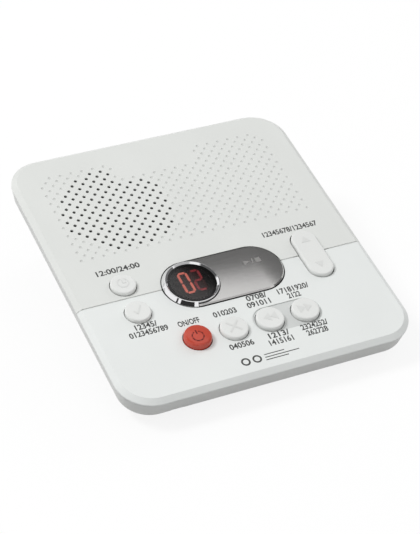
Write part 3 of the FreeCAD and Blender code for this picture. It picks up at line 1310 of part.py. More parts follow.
# ---------------------------------------------------------------- speaker
def speaker():
    """The small round speaker under the grille, axis square to the panel."""
    top, rest = f"(0 - {SPEAKER_TOP})", f"(0 - {SPEAKER_TOP} - flange_thick)"
    floor = f"({top} - basket_deep)"
    neck = "coil_radius + pole_gap + coil_wall"
    edge = "speaker_radius - gasket_ring"
    cone = f"({top} - cone_deep)"
    cap = f"({cone} + 2 * cone_wall)"
    coil = "coil_radius - coil_wall"
    plate = f"({floor} - plate_wall)"
    back = f"({plate} - magnet_tall)"
    yoke = "magnet_radius - plate_wall"
    rounds = {
        "speaker_gasket": [(edge, top), ("speaker_radius", top), ("speaker_radius", "0 - deck"),
                           (edge, "0 - deck")],
        "speaker_cone": [("coil_radius", cone), (f"{edge} - surround - cone_wall", top),
                         (f"{edge} - cone_wall / 4", top), (f"{edge} - cone_wall / 4", f"{top} + cone_wall"),
                         (f"{edge} - surround", f"{top} + cone_wall"),
                         ("coil_radius", f"{cone} + cone_wall")],
        "speaker_dust_cap": [("0", cap), ("cap_radius", cap,
                             "((cap_radius * cap_radius + cap_tall * cap_tall) / (2 * cap_tall))"),
                             ("0", f"{cap} + cap_tall")],
        "voice_coil": [(coil, f"{cone} - coil_long"), ("coil_radius", f"{cone} - coil_long"),
                       ("coil_radius", cone), (coil, cone)],
        "speaker_front_plate": [(neck, plate), ("plate_radius", plate), ("plate_radius", floor),
                                (neck, floor)],
        "speaker_magnet": [("magnet_hole", back), ("magnet_radius", back), ("magnet_radius", plate),
                           ("magnet_hole", plate)],
        "speaker_yoke": [("0", f"{back} - yoke_wall"), (yoke, f"{back} - yoke_wall"), (yoke, back),
                         ("pole_radius", back), ("pole_radius", floor), ("0", floor)],
    }
    for label, points in rounds.items():
        body = new_body(label + "_body")
        turn(body, label + "_outline", points)
        seat(body, label, "speaker_x", "speaker_y")

    basket = new_body("speaker_frame_body")
    inner = "speaker_radius - gasket_ring - 1"
    turn(basket, "speaker_frame_outline",
         [(neck, floor), ("basket_foot", floor), (f"{inner} + basket_wall", rest), ("speaker_radius", rest),
          ("speaker_radius", top), (inner, top), (inner, f"{rest} + basket_wall"),
          ("basket_foot - basket_wall", f"{floor} + basket_wall"), (neck, f"{floor} + basket_wall")])
    window = sketch(basket, "speaker_frame_window", level=f"{rest} - 0.5")
    circle(window, f"(basket_foot + {inner}) / 2", "0", "basket_window")
    opening = pocket(basket, window, "basket_deep - flange_thick - 0.5 - basket_wall")
    doc.recompute()
    ring = basket.newObject("PartDesign::PolarPattern", "speaker_frame_windows")
    ring.Originals = [opening]
    ring.Axis = (window, ["N_Axis"])
    ring.Axis = (next(part for part in basket.Origin.OriginFeatures if part.Role == "Z_Axis"), [""])
    ring.Angle = 360
    ring.Occurrences = 6
    basket.Tip = ring
    seat(basket, "speaker_frame", "speaker_x", "speaker_y")
    edge = "speaker_x + speaker_radius - 1.6"
    seat_block("speaker_terminals", (edge, f"{edge} + tag_wall"), about("speaker_y", "tag_wide"),
               (f"{rest} - tag_tall", rest))


def seat_block(label, x, y, z):
    """A plain box of the slab frame, tipped with it."""
    return seat(group(label + "_group", [block(label + "_box", x, y, z)]), label)


def about(middle, width):
    """Limits of something so wide about its middle."""
    return f"({middle}) - ({width}) / 2", f"({middle}) + ({width}) / 2"


def wire(name, points):
    """A round lead through points of the slab frame: straight runs joined by tangent arcs."""
    spots = [Vector(*(number(value) for value in point)) for point in points]
    edges, start = [], spots[0]
    for before, corner, after in zip(spots, spots[1:], spots[2:]):
        back, ahead = (before - corner).normalize(), (after - corner).normalize()
        half_turn = (pi - back.getAngle(ahead)) / 2
        inset = 0.45 * min(before.distanceToPoint(corner), after.distanceToPoint(corner))
        radius = inset / tan(half_turn)
        inward = (back + ahead).normalize()
        middle = corner + inward * (radius / cos(half_turn) - radius)
        enter, leave = corner + back * inset, corner + ahead * inset
        edges += [Part.LineSegment(start, enter).toShape(), Part.Arc(enter, middle, leave).toShape()]
        start = leave
    edges.append(Part.LineSegment(start, spots[-1]).toShape())
    ring = Part.Wire(Part.makeCircle(number("lead_radius"), spots[0], spots[1] - spots[0]))
    lead = doc.addObject("Part::Feature", name)
    lead.Shape = Part.Wire(edges).makePipeShell([ring], True, True)
    return lead


# ---------------------------------------------------------------- main board
def main_board():
    """The main circuit board on its four posts."""
    body = new_body("main_board_body")
    plan = sketch(body, "main_board_plan", level=f"0 - {BOARD_UNDER}")
    rounded(plan, "(main_left + main_right) / 2", "(main_front + main_rear) / 2",
            "(main_right - main_left) / 2", "(main_rear - main_front) / 2", "board_corner")
    pad(body, plan, "board_wall")
    holes = sketch(body, "main_board_holes")
    for x, y in MAIN_SCREWS:
        circle(holes, x, y, "small_shank + drill_gap")
    pocket(body, holes)
    seat(body, "main_board")


def on_board(height):
    """Limits in Z of a part that stands on the main board."""
    return "0 - main_depth", f"{height} - main_depth"


def chips():
    """The processor with legs on four sides and the memory with legs on two."""
    top = on_board("chip_tall")
    solids = [block("chip_case", about("chip_x", "chip_side"), about("chip_y", "chip_side"), top)]
    for count in range(-6, 7):
        step = f"{count} * leg_pitch"
        low = on_board("chip_tall / 3")
        solids.append(block(f"chip_legs_x_{count + 6}", about("chip_x", "chip_side + 2 * leg_out"),
                            about(f"chip_y + {step}", "leg_wide"), low))
        solids.append(block(f"chip_legs_y_{count + 6}", about(f"chip_x + {step}", "leg_wide"),
                            about("chip_y", "chip_side + 2 * leg_out"), low))
    seat(fuse("chip_fused", solids), "processor_chip")
    solids = [block("memory_case", about("memory_x", "memory_wide"), about("memory_y", "memory_deep"),
                    on_board("memory_tall"))]
    for count in range(-5, 6):
        solids.append(block(f"memory_legs_{count + 5}", about("memory_x", "memory_wide + 2 * leg_out"),
                            about(f"memory_y + {count} * leg_pitch", "leg_wide"),
                            on_board("memory_tall / 3")))
    seat(fuse("memory_fused", solids), "memory_chip")


def line_parts():
    """What stands on the board behind the telephone sockets: transformer, relay, capacitors, arrester."""
    lift = "(core_tall - winding_tall) / 2"
    coil = ("0 - main_depth", f"{lift} + winding_tall - main_depth")
    core = block("core_block", about("coil_x", "core_wide"), about("coil_y", "core_deep"),
                 on_board("core_tall"))
    room = block("core_room", about("coil_x", "winding_wide"), about("coil_y", "core_deep + 2"), coil)
    seat(cut("core_cut", core, room), "line_transformer")
    seat_block("transformer_winding", about("coil_x", "winding_wide"), about("coil_y", "winding_deep"),
               coil)
    seat_block("line_relay", about("relay_x", "relay_wide"), about("relay_y", "relay_deep"),
               on_board("relay_tall"))
    seat_block("film_capacitor", about("film_x", "film_wide"), about("film_y", "film_deep"),
               on_board("film_tall"))
    seat_block("crystal", about("crystal_x", "crystal_wide"), about("crystal_y", "crystal_long"),
               on_board("crystal_tall"))
    arrester = cross_rod("arrester_rod", "arrester_x", about("arrester_y", "arrester_long"),
                         "arrester_radius - main_depth", "arrester_radius")
    seat(group("arrester_group", [arrester]), "surge_arrester")
    can = new_body("capacitor_can")
    turn(can, "capacitor_outline", [("0", "0"), ("can_radius", "0"), ("can_radius", "can_tall"),
                                    ("0", "can_tall")])
    soften(can, "can_round", "can_tall")
    spots = [("crystal_x", f"crystal_y + {gap}", "0 - main_depth") for gap in ("can_near", "can_far")]
    spots += [("memory_x + can_beside", f"memory_y + {gap}", "0 - main_depth")
              for gap in ("can_behind", "can_behind - can_step")]
    seat(copies("capacitor_set", can, spots), "electrolytic_capacitors")


def power_parts():
    """The voltage regulator with a finned plate on top."""
    seat_block("voltage_regulator", about("regulator_x", "regulator_wide"),
               about("regulator_y", "regulator_deep"), on_board("regulator_tall"))
    base = "(regulator_tall - main_depth)"
    solids = [block("sink_base", about("regulator_x", "sink_wide"), about("regulator_y", "sink_deep"),
                    (base, f"{base} + sink_plate"))]
    for count in range(5):
        middle = f"regulator_x + ({count} - 2) * (sink_wide - sink_fin) / 4"
        solids.append(block(f"sink_fin_{count}", about(middle, "sink_fin"), about("regulator_y", "sink_deep"),
                            (f"{base} + sink_plate / 2", f"{base} + sink_plate + sink_tall")))
    seat(fuse("sink_fused", solids), "heat_sink")


def sockets():
    """The two modular sockets and the power socket, hung under the board and looking out at the back."""
    inner, outer = f"{BASE_INNER} - jack_gap", "base_rear - nose_back"
    wires = []
    for label, x in (("line_jack", "line_x"), ("phone_jack", "phone_x")):
        body = block(label + "_body", about(x, "jack_width"), (f"{inner} - jack_depth", inner),
                     (f"0 - {BOARD_UNDER} - jack_tall", f"0 - {BOARD_UNDER}"))
        nose = block(label + "_nose", about(x, "nose_width"), (f"{inner} - 1", outer),
                     ("0 - nose_top - nose_tall", "0 - nose_top"))
        top = "0 - nose_top - mouth_rim"
        mouth = block(label + "_mouth", about(x, "mouth_width"), (f"{outer} - mouth_deep", f"{outer} + 1"),
                      (f"{top} - mouth_tall", top))
        catch = block(label + "_catch", about(x, "catch_wide"), (f"{outer} - contact_long", f"{outer} + 1"),
                      (f"{top} - mouth_tall - catch_deep", f"{top} - 1"))
        room = fuse(label + "_room", [mouth, catch])
        seat(cut(label + "_cut", fuse(label + "_solid", [body, nose]), room), label)
        for count in range(4):
            middle = f"{x} + ({count} - 1.5) * contact_pitch"
            wires.append(block(f"{label}_contact_{count}", about(middle, "contact_wide"),
                               (f"{outer} - mouth_deep", f"{outer} - mouth_deep + contact_long"),
                               (f"{top} - contact_wide", top)))
    seat(group("jack_contact_set", wires), "jack_contacts")
    body = block("dc_body", about("dc_x", "dc_width"), (f"{inner} - dc_depth", inner),
                 (f"0 - {BOARD_UNDER} - dc_tall", f"0 - {BOARD_UNDER}"))
    nose = cross_rod("dc_nose_rod", "dc_x", (f"{inner} - 1", outer), "0 - dc_axis", "dc_nose")
    bore = cross_rod("dc_bore_rod", "dc_x", (f"{outer} - dc_deep", f"{outer} + 1"), "0 - dc_axis", "dc_bore")
    seat(cut("dc_cut", fuse("dc_solid", [body, nose]), bore), "dc_jack")
    middle = cross_rod("dc_pin_rod", "dc_x", (f"{outer} - dc_deep", f"{outer} - dc_pin_back"),
                       "0 - dc_axis", "dc_pin")
    seat(group("dc_pin_group", [middle]), "dc_jack_pin")


def ribbon_cable():
    """The flat cable that arches from the key board to the main board."""
    body = new_body("ribbon_cable_body")
    profile = sketch(body, "ribbon_cable_profile", "YZ", level="ribbon_x")
    top, under = "0 - ribbon_top", "0 - ribbon_top - ribbon_wall"
    bend = "2"
    front, rear = "ribbon_front", "ribbon_rear"
    outline(profile, [(front, f"0 - {BOARD_TOP}"), (f"{front} + ribbon_wall", f"0 - {BOARD_TOP}"),
                      (f"{front} + ribbon_wall", f"{top} - {bend} + 0.4"), (f"{front} + {bend}", under),
                      (f"{rear} - {bend}", under), (f"{rear} - ribbon_wall", f"{top} - {bend}"),
                      (f"{rear} - ribbon_wall", "0 - main_depth"), (rear, "0 - main_depth"),
                      (rear, f"{top} - {bend} + 0.4"), (f"{rear} - {bend} + 0.4", top),
                      (f"{front} + {bend} - 0.4", top), (front, f"{top} - {bend} + 0.6")])
    feature = body.newObject("PartDesign::Pad", "ribbon_cable_pad")
    feature.Profile = profile
    bind(feature, "Length", "ribbon_wide")
    seat(body, "ribbon_cable")


def microphone():
    """The microphone capsule in its rubber boot behind the notch, and its two leads."""
    axis = "(0 - case_depth + case_floor + mic_floor_gap + mic_boot)"
    rear = f"{MIC_FRONT} + mic_long"
    tube = cross_rod("mic_boot_rod", MIC_X, (MIC_FRONT, rear), axis, "mic_boot")
    room = cross_rod("mic_boot_room", MIC_X, (f"{MIC_FRONT} + mic_face", f"{rear} + 1"), axis,
                     "mic_radius + mic_gap")
    port = cross_rod("mic_boot_port", MIC_X, (f"{MIC_FRONT} - 1", f"{MIC_FRONT} + 1"), axis, "mic_radius / 2")
    seat(cut("mic_boot_cut", tube, fuse("mic_boot_tools", [room, port])), "microphone_boot")
    back = f"({MIC_FRONT} + mic_face + mic_capsule)"
    capsule = cross_rod("mic_capsule_rod", MIC_X, (f"{MIC_FRONT} + mic_face", back), axis, "mic_radius")
    seat(group("mic_capsule_group", [capsule]), "microphone")
    under = f"0 - {BOARD_TOP} - board_wall"
    leads = []
    for count, x in enumerate(about(MIC_X, "mic_lead_pitch / 2")):
        landing = f"(mic_lead_side - stand_side + {count} * mic_lead_pitch)"
        leads.append(wire(f"mic_lead_{count}", [(x, back, axis), (x, f"{back} + 4", axis),
                                                (f"({x} + {landing}) / 2", f"{back} + 7", f"{under} - 2"),
                                                (landing, "key_board_front + 5", f"{under} - 2.2"),
                                                (landing, "key_board_front + 5", under)]))
    seat(group("mic_leads_group", leads), "microphone_leads")


def leads():
    """The battery snap with its leads, and the speaker's leads."""
    low = f"{BAY_FLOOR} + snap_lift"
    plate = block("snap_plate", ("bay_left", "bay_left + snap_wall"), about("bay_y", "snap_deep"),
                  (low, f"{low} + snap_tall"))
    solids = [plate]
    for count, sign in enumerate("-+"):
        stud = doc.addObject("Part::Cylinder", f"snap_stud_{count}")
        bind(stud, "Radius", "stud_radius")
        bind(stud, "Height", "stud_tall + 1")
        stud.Placement.Rotation = Rotation(Vector(0, 1, 0), 90)
        place(stud, "bay_left + snap_wall - 1", f"bay_y {sign} stud_half", f"{low} + snap_tall / 2")
        solids.append(stud)
    keep(fuse("battery_snap_fused", solids), "battery_snap")
    y, z = slab_y("bay_y", f"{low} + snap_tall / 2"), slab_z("bay_y", f"{low} + snap_tall / 2")
    strands = []
    for count, gap in enumerate(("0 - 1.1", "1.1")):
        strands.append(wire(f"battery_lead_{count}",
                            [("bay_left", f"{y} + {gap}", z), ("bay_left - bay_wall - 2", f"{y} + {gap}", z),
                             ("main_left + 1.5", f"{y} + {gap} * 1.2", f"{z} + 3.5"),
                             ("main_left + 3", f"{y} + {gap} * 1.4", f"0 - {BOARD_UNDER} - 6"),
                             ("main_left + 3", f"{y} + {gap} * 1.4", f"0 - {BOARD_UNDER}")]))
    seat(group("battery_leads_group", strands), "battery_leads")
    face = "speaker_x + speaker_radius - 1.6 + tag_wall"
    level = f"0 - {SPEAKER_TOP} - flange_thick - tag_tall * 0.7"
    strands = []
    for count, y in enumerate(about("speaker_y", "5.6")):
        strands.append(wire(f"speaker_lead_{count}",
                            [(face, y, level), (f"{face} + 2.4", y, level),
                             (f"{face} + 4.4", y, f"{level} - 1.2"), (f"{face} + 4.4", y, "0 - main_depth")]))
    seat(group("speaker_leads_group", strands), "speaker_leads")


screws()
keys()
front_cover()
rear_cover()
bottom_case()
rubber_feet()
battery_door()
key_frame()
display()
keypad_mat()
key_board()
speaker()
main_board()
chips()
line_parts()
power_parts()
sockets()
ribbon_cable()
microphone()
leads()

# ---------------------------------------------------------------- check and write
doc.recompute()
for thing in doc.Objects:
    if {"Invalid", "Error"} & set(thing.State):
        raise SystemExit(f"{thing.Label} failed: {thing.State}")
for node in nodes:
    if node.Shape.isNull() or not node.Shape.isValid():
        raise SystemExit(f"{node.Label} has no valid shape")
os.makedirs("parts", exist_ok=True)
for node in nodes:
    node.Shape.exportStep(f"parts/{node.Label}.step")
    box = node.Shape.BoundBox
    print(f"{node.Label:24s} {len(node.Shape.Solids):2d} solids {node.Shape.Volume:10.1f} mm3",
          " ".join(f"{value:7.2f}" for value in (box.XMin, box.XMax, box.YMin, box.YMax, box.ZMin, box.ZMax)))
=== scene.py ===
"""A sloping table-top answering machine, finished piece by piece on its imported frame."""
import json
from math import cos, hypot, pi, radians, sin

import bmesh
import bpy
from mathutils import Matrix, Vector
from mathutils.bvhtree import BVHTree


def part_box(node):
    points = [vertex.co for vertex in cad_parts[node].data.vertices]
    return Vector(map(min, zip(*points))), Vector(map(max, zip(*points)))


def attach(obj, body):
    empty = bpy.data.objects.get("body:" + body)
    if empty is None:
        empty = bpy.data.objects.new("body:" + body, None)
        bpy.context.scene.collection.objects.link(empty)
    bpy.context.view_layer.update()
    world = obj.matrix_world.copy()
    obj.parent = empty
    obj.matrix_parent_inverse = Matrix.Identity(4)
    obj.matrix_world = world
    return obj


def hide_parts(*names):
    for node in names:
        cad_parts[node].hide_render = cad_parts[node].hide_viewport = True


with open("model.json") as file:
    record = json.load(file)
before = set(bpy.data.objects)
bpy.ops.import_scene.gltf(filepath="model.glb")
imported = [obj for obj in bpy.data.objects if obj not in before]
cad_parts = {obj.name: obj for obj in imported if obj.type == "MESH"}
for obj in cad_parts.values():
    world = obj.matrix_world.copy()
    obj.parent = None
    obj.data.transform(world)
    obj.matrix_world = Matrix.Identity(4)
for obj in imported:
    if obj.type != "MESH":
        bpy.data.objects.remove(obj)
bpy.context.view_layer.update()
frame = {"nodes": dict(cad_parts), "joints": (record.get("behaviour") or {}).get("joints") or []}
nodes = frame["nodes"]


# ---------------------------------------------------------------- bottom case
# The lower moulding: a shallow tray with a rounded rim on a hollow wedge, shot in one piece in
# off-white ABS. The tool is spark-eroded, so the skin has a fine, even grain and a satin gloss.
FLOW_SCALE, PORE_SCALE = 38, 5200           # noise cells per metre: flow marks and pores
PORE_GLOSS, SKIN_GRAIN = 0.12, 4e-6         # how far the pores sway the roughness; their depth in metres
# a little darker than the covers' white: painted shade for the rim, which faces down
CASE_WHITE = (0.71, 0.72, 0.705)


class Wire:
    """One output of a shader node; arithmetic on wires adds Math nodes to their tree."""

    def __init__(self, owner, socket):
        self.owner, self.socket = owner, socket

    def node(self, kind, settings, sockets, output=0):
        """Any shader node: its settings first, then the values or links of its sockets."""
        made = self.owner.node_tree.nodes.new("ShaderNode" + kind)
        for name, value in settings.items():
            setattr(made, name, value)
        for name, value in sockets.items():
            if isinstance(value, Wire):
                self.owner.node_tree.links.new(value.socket, made.inputs[name])
            else:
                made.inputs[name].default_value = value
        return Wire(self.owner, made.outputs[output] if made.outputs else None)

    def math(self, operation, first, second=0.0):
        return self.node("Math", {"operation": operation}, {0: first, 1: second})

    def __add__(self, other):
        return self.math("ADD", self, other)

    __radd__ = __add__

    def __sub__(self, other):
        return self.math("SUBTRACT", self, other)

    def __rsub__(self, other):
        return self.math("SUBTRACT", other, self)

    def __mul__(self, other):
        return self.math("MULTIPLY", self, other)

    __rmul__ = __mul__

    def __gt__(self, other):
        return self.math("GREATER_THAN", self, other)

    def __lt__(self, other):
        return self.math("LESS_THAN", self, other)

    def __abs__(self):
        return self.math("ABSOLUTE", self)

    def axis(self, letter):
        return self.node("SeparateXYZ", {}, {0: self}, "XYZ".index(letter))

    def stretched(self, x, y, z):
        return self.node("VectorMath", {"operation": "MULTIPLY"}, {0: self, 1: (x, y, z)})

    def noise(self, scale, detail):
        return self.node("TexNoise", {}, {"Vector": self, "Scale": scale, "Detail": detail})

    def between(self, low, high):
        """0 below low, 1 above high, and a ramp from one to the other."""
        limits = {"Value": self, "From Min": low, "From Max": high}
        return self.node("MapRange", {"interpolation_type": "SMOOTHSTEP"}, limits)

    def mix(self, first, second):
        """Two colours mixed by this wire."""
        blend = {0: self, 6: colour(first), 7: colour(second)}
        return self.node("Mix", {"data_type": "RGBA"}, blend, 2)

    def bump(self, distance):
        return self.node("Bump", {}, {"Height": self, "Distance": distance, "Strength": 1.0})

    def surface(self, **inputs):
        """A Principled surface from these inputs; returns the material."""
        sockets = {name.replace("_", " "): value for name, value in inputs.items()}
        if not isinstance(sockets["Base Color"], Wire):
            sockets["Base Color"] = colour(sockets["Base Color"])
        shader = self.node("BsdfPrincipled", {}, sockets)
        self.node("OutputMaterial", {}, {"Surface": shader})
        return self.owner


def colour(value):
    """A wire as it is, or an RGB value with its alpha."""
    return value if isinstance(value, Wire) else (*value, 1.0)


def shade(tint, amount):
    """The tint made lighter or darker."""
    return tuple(channel * amount for channel in tint)


def new_finish(name):
    """An empty material and the wire that gives the place on the piece, in metres."""
    finish = bpy.data.materials.new(name)
    finish.use_nodes = True
    finish.node_tree.nodes.clear()
    return Wire(finish, None).node("TexCoord", {}, {}, "Object")


def flow_marks(place, tint):
    """The tint with the faint, wide marks that the plastic's flow leaves."""
    flow = place.stretched(1, 0.5, 1).noise(FLOW_SCALE, 3)
    return flow.between(0.3, 0.7).mix(shade(tint, 0.985), shade(tint, 1.01))


def spark_grain(place, skin, gloss, grain):
    """A surface of this colour with the fine pores of a spark-eroded tool."""
    pores = place.noise(PORE_SCALE, 1)
    return place.surface(Base_Color=skin, Roughness=pores * PORE_GLOSS + (gloss - PORE_GLOSS / 2),
                         Normal=pores.bump(grain))


def moulded(name, tint, gloss=0.42, grain=SKIN_GRAIN):
    """Injection-moulded plastic: spark grain in the gloss and the relief, faint flow marks in the tint."""
    place = new_finish(name)
    return spark_grain(place, flow_marks(place, tint), gloss, grain)


def dress(finish, *names):
    """One material on every slot of these parts."""
    for name in names:
        for slot in nodes[name].material_slots:
            slot.material = finish


case_plastic = moulded("case_plastic", CASE_WHITE)
dress(case_plastic, "bottom_case")


# ---------------------------------------------------------------- feet
# Four die-cut rubber pads, stuck in shallow wells of the base. They are matt and pick up dust.
def rubber(name, tint, dust=0.5):
    """Matt rubber with paler dust on it."""
    place = new_finish(name)
    specks = place.noise(2600, 2)
    film = place.noise(160, 3).between(0.45, 0.75) * dust
    return place.surface(Base_Color=film.mix(tint, shade(tint, 2.2)), Roughness=specks * 0.15 + 0.72,
                         Normal=specks.bump(8e-6))


dress(rubber("foot_rubber", (0.035, 0.035, 0.037)), "rubber_feet")


# ---------------------------------------------------------------- battery bay
# The sliding door has the case's plastic and grain. Behind it a moulded snap holds a nine-volt battery,
# and a red and a black PVC-covered lead run from it to the main board.
def lead_pair(name, node_name, letter, first, second):
    """Two insulated leads in one node, coloured by the side they lie on."""
    low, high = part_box(node_name)
    number = "XYZ".index(letter)
    middle = (low[number] + high[number]) / 2
    place = new_finish(name)
    side = place.axis(letter) > middle
    smudge = place.noise(900, 2)
    return place.surface(Base_Color=side.mix(first, second), Roughness=smudge * 0.2 + 0.3)


RED_COVER, BLACK_COVER = (0.42, 0.02, 0.015), (0.02, 0.02, 0.022)
dress(case_plastic, "battery_door")
dress(moulded("snap_plastic", (0.03, 0.03, 0.032), 0.5), "battery_snap")
dress(lead_pair("battery_lead_covers", "battery_leads", "Y", RED_COVER, BLACK_COVER), "battery_leads")


# ---------------------------------------------------------------- main board
# A single-sided glass-epoxy board under green solder mask. Copper tracks show through the mask as
# lighter lines on a square grid, and tinned pads stand on the same grid.
def masked_board(name, pitch):
    """Solder mask over tracks and pads on a grid of this pitch, in metres."""
    place = new_finish(name)
    flat = place.stretched(1, 1, 0)
    grid = {"Vector": flat, "Scale": 1 / pitch, "Randomness": 0.35}
    cells = place.node("TexVoronoi", {"distance": "CHEBYCHEV"}, grid)
    bricks = {"Vector": flat, "Scale": 0.5 / pitch, "Mortar Size": 0.06,
              "Color1": (0, 0, 0, 1), "Color2": (0, 0, 0, 1), "Mortar": (1, 1, 1, 1)}
    tracks = place.node("TexBrick", {}, bricks)
    pads = cells < 0.11
    weave = place.noise(1500, 2)
    mask = weave.mix((0.012, 0.075, 0.03), (0.02, 0.11, 0.045))
    copper = tracks.mix(mask, (0.05, 0.2, 0.075))
    return place.surface(Base_Color=pads.mix(copper, (0.6, 0.6, 0.56)), Metallic=pads * 0.9,
                         Roughness=weave * 0.15 + 0.28, Normal=(tracks + pads).bump(2e-5))


MAIN_PITCH = 2.54e-3
dress(masked_board("main_solder_mask", MAIN_PITCH), "main_board")


# ---------------------------------------------------------------- chips and regulator
# Transfer-moulded black epoxy on tinned lead frames. The legs are below the body, so the tin starts
# under the height at which they leave it.
def epoxy_chip(name, node_name, legs):
    """Black epoxy above the share of the piece's height that is legs, tin below it."""
    low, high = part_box(node_name)
    place = new_finish(name)
    tin = place.axis("Z") < low.z + legs * (high.z - low.z)
    grit = place.noise(3200, 2)
    return place.surface(Base_Color=tin.mix(grit.mix((0.016, 0.016, 0.017), (0.03, 0.03, 0.031)),
                                            (0.62, 0.62, 0.6)),
                         Metallic=tin, Roughness=grit * 0.25 + 0.4 - tin * 0.2, Normal=grit.bump(6e-6))


for chip, legs in (("processor_chip", 0.3), ("memory_chip", 0.35), ("voltage_regulator", 0.12)):
    dress(epoxy_chip(chip + "_epoxy", chip, legs), chip)


# ---------------------------------------------------------------- small metal parts
# Zinc-plated screws and speaker steel, tinned cans and tags, gold-flashed contacts: thin bright
# platings with fine scratches and a cloudy bloom where they were handled.
BLOOM_GLOSS, SCRATCH_GLOSS = 0.12, 0.1      # how far the bloom and the scratches sway the roughness


def plated(name, tint, gloss):
    """Plated metal, scratched along one way and cloudy in patches."""
    place = new_finish(name)
    bloom = place.noise(240, 3)
    scratches = place.stretched(1, 7, 1).noise(2400, 2)
    return place.surface(Base_Color=bloom.mix(shade(tint, 0.86), tint), Metallic=1.0,
                         Roughness=bloom * BLOOM_GLOSS + scratches * SCRATCH_GLOSS + (gloss - 0.1),
                         Normal=scratches.bump(1.5e-6))


zinc = plated("zinc_plate", (0.62, 0.63, 0.64), 0.3)
tin = plated("tin_plate", (0.72, 0.71, 0.68), 0.2)
dress(zinc, "case_screws", "main_board_screws", "key_board_screws", "speaker_screws", "speaker_frame",
      "speaker_front_plate", "speaker_yoke")
dress(tin, "crystal", "dc_jack_pin")
dress(plated("gold_flash", (0.9, 0.62, 0.25), 0.2), "jack_contacts")


# ---------------------------------------------------------------- parts on the main board
# Sleeved electrolytic cans with bare aluminium tops, a dipped film capacitor, a boxed relay, a ceramic
# surge arrester with metal ends, a small line transformer and a finned heat sink.
def sleeved_can(name, node_name, top):
    """A printed sleeve, and bare aluminium over the top share of the height."""
    low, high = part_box(node_name)
    place = new_finish(name)
    bare = place.axis("Z") > high.z - top * (high.z - low.z)
    print_marks = place.stretched(1, 1, 4).noise(700, 1).between(0.62, 0.66)
    sleeve = print_marks.mix((0.02, 0.035, 0.12), (0.35, 0.38, 0.45))
    return place.surface(Base_Color=bare.mix(sleeve, (0.7, 0.7, 0.7)), Metallic=bare * 0.95,
                         Roughness=place.noise(500, 2) * 0.2 + 0.25)


WAVES_PER_UNIT, STRIPE_DEPTH = 3.183, 2e-5  # a wave texture's stripes in one unit at scale 1; their relief


def banded(name, letter, pitch, first, second, gloss, metal=0.0):
    """Even stripes across one axis: laminations, windings or the cores of a flat cable."""
    place = new_finish(name)
    wave = {"Vector": place, "Scale": 1 / (pitch * WAVES_PER_UNIT), "Distortion": 0.0}
    stripes = place.node("TexWave", {"bands_direction": letter}, wave, 1)
    dirt = place.noise(600, 2)
    return place.surface(Base_Color=stripes.mix(first, second), Metallic=metal,
                         Roughness=dirt * 0.2 + gloss, Normal=stripes.bump(STRIPE_DEPTH))


dress(sleeved_can("capacitor_sleeves", "electrolytic_capacitors", 0.06), "electrolytic_capacitors")
dress(moulded("dipped_film", (0.45, 0.13, 0.02), 0.3, 1e-5), "film_capacitor")
dress(moulded("relay_box", (0.02, 0.05, 0.16), 0.35), "line_relay")
dress(moulded("arrester_ceramic", (0.55, 0.5, 0.46), 0.5), "surge_arrester")
dress(banded("core_laminations", "Y", 0.5e-3, (0.12, 0.12, 0.125), (0.26, 0.26, 0.27), 0.4, 0.8),
      "line_transformer")
dress(banded("winding_tape", "X", 0.35e-3, (0.55, 0.33, 0.04), (0.7, 0.45, 0.08), 0.35),
      "transformer_winding")
dress(plated("heat_sink_aluminium", (0.55, 0.56, 0.58), 0.4), "heat_sink")


# ---------------------------------------------------------------- sockets
# Two modular telephone sockets and a barrel power socket, in black nylon: slightly waxy, with the
# faint swirl of a glass-filled moulding.
def nylon(name, tint):
    """Glass-filled nylon with a faint swirl."""
    place = new_finish(name)
    swirl = place.stretched(1, 1, 0.4).noise(420, 4)
    return place.surface(Base_Color=swirl.mix(tint, shade(tint, 1.8)), Roughness=swirl * 0.2 + 0.35,
                         Normal=swirl.bump(6e-6))


dress(nylon("socket_nylon", (0.018, 0.018, 0.02)), "line_jack", "phone_jack", "dc_jack")


# ---------------------------------------------------------------- key board, mat and chassis
# The keys press carbon pills of a silicone mat on a second green board. A grey chassis plate over the
# mat guides the key stems, and a flat cable joins the two boards.
KEY_BOARD_PITCH = 1.9e-3
dress(masked_board("key_solder_mask", KEY_BOARD_PITCH), "key_board")
dress(rubber("mat_silicone", (0.33, 0.335, 0.32), 0.15), "keypad_mat")
dress(moulded("chassis_plastic", (0.1, 0.105, 0.11), 0.5), "key_frame")
dress(banded("cable_cores", "X", 1.0e-3, (0.26, 0.26, 0.27), (0.45, 0.45, 0.46), 0.45), "ribbon_cable")


def lamp_epoxy(name, tint):
    """Clear tinted epoxy with a brighter heart."""
    place = new_finish(name)
    heart = place.noise(800, 1)
    return place.surface(Base_Color=heart.mix(shade(tint, 0.6), tint), Roughness=heart * 0.08 + 0.12,
                         Coat_Weight=0.5)


dress(lamp_epoxy("lamp_epoxy", (0.55, 0.04, 0.03)), "power_leds")


# ---------------------------------------------------------------- speaker
# A 60 mm paper-cone speaker: pressed cone with a flat surround, a domed dust cap, a felt gasket ring, a
# ferrite ring magnet between steel plates, and a copper voice coil.
def pulp(name, tint, fibre):
    """Pressed paper or felt with fibres this many to the metre."""
    place = new_finish(name)
    hair = place.stretched(1, 4, 1).noise(fibre, 4)
    clump = place.noise(300, 3)
    return place.surface(Base_Color=(hair * 0.6 + clump * 0.4).mix(shade(tint, 0.6), shade(tint, 1.3)),
                         Roughness=hair * 0.15 + 0.78, Normal=hair.bump(2e-5))


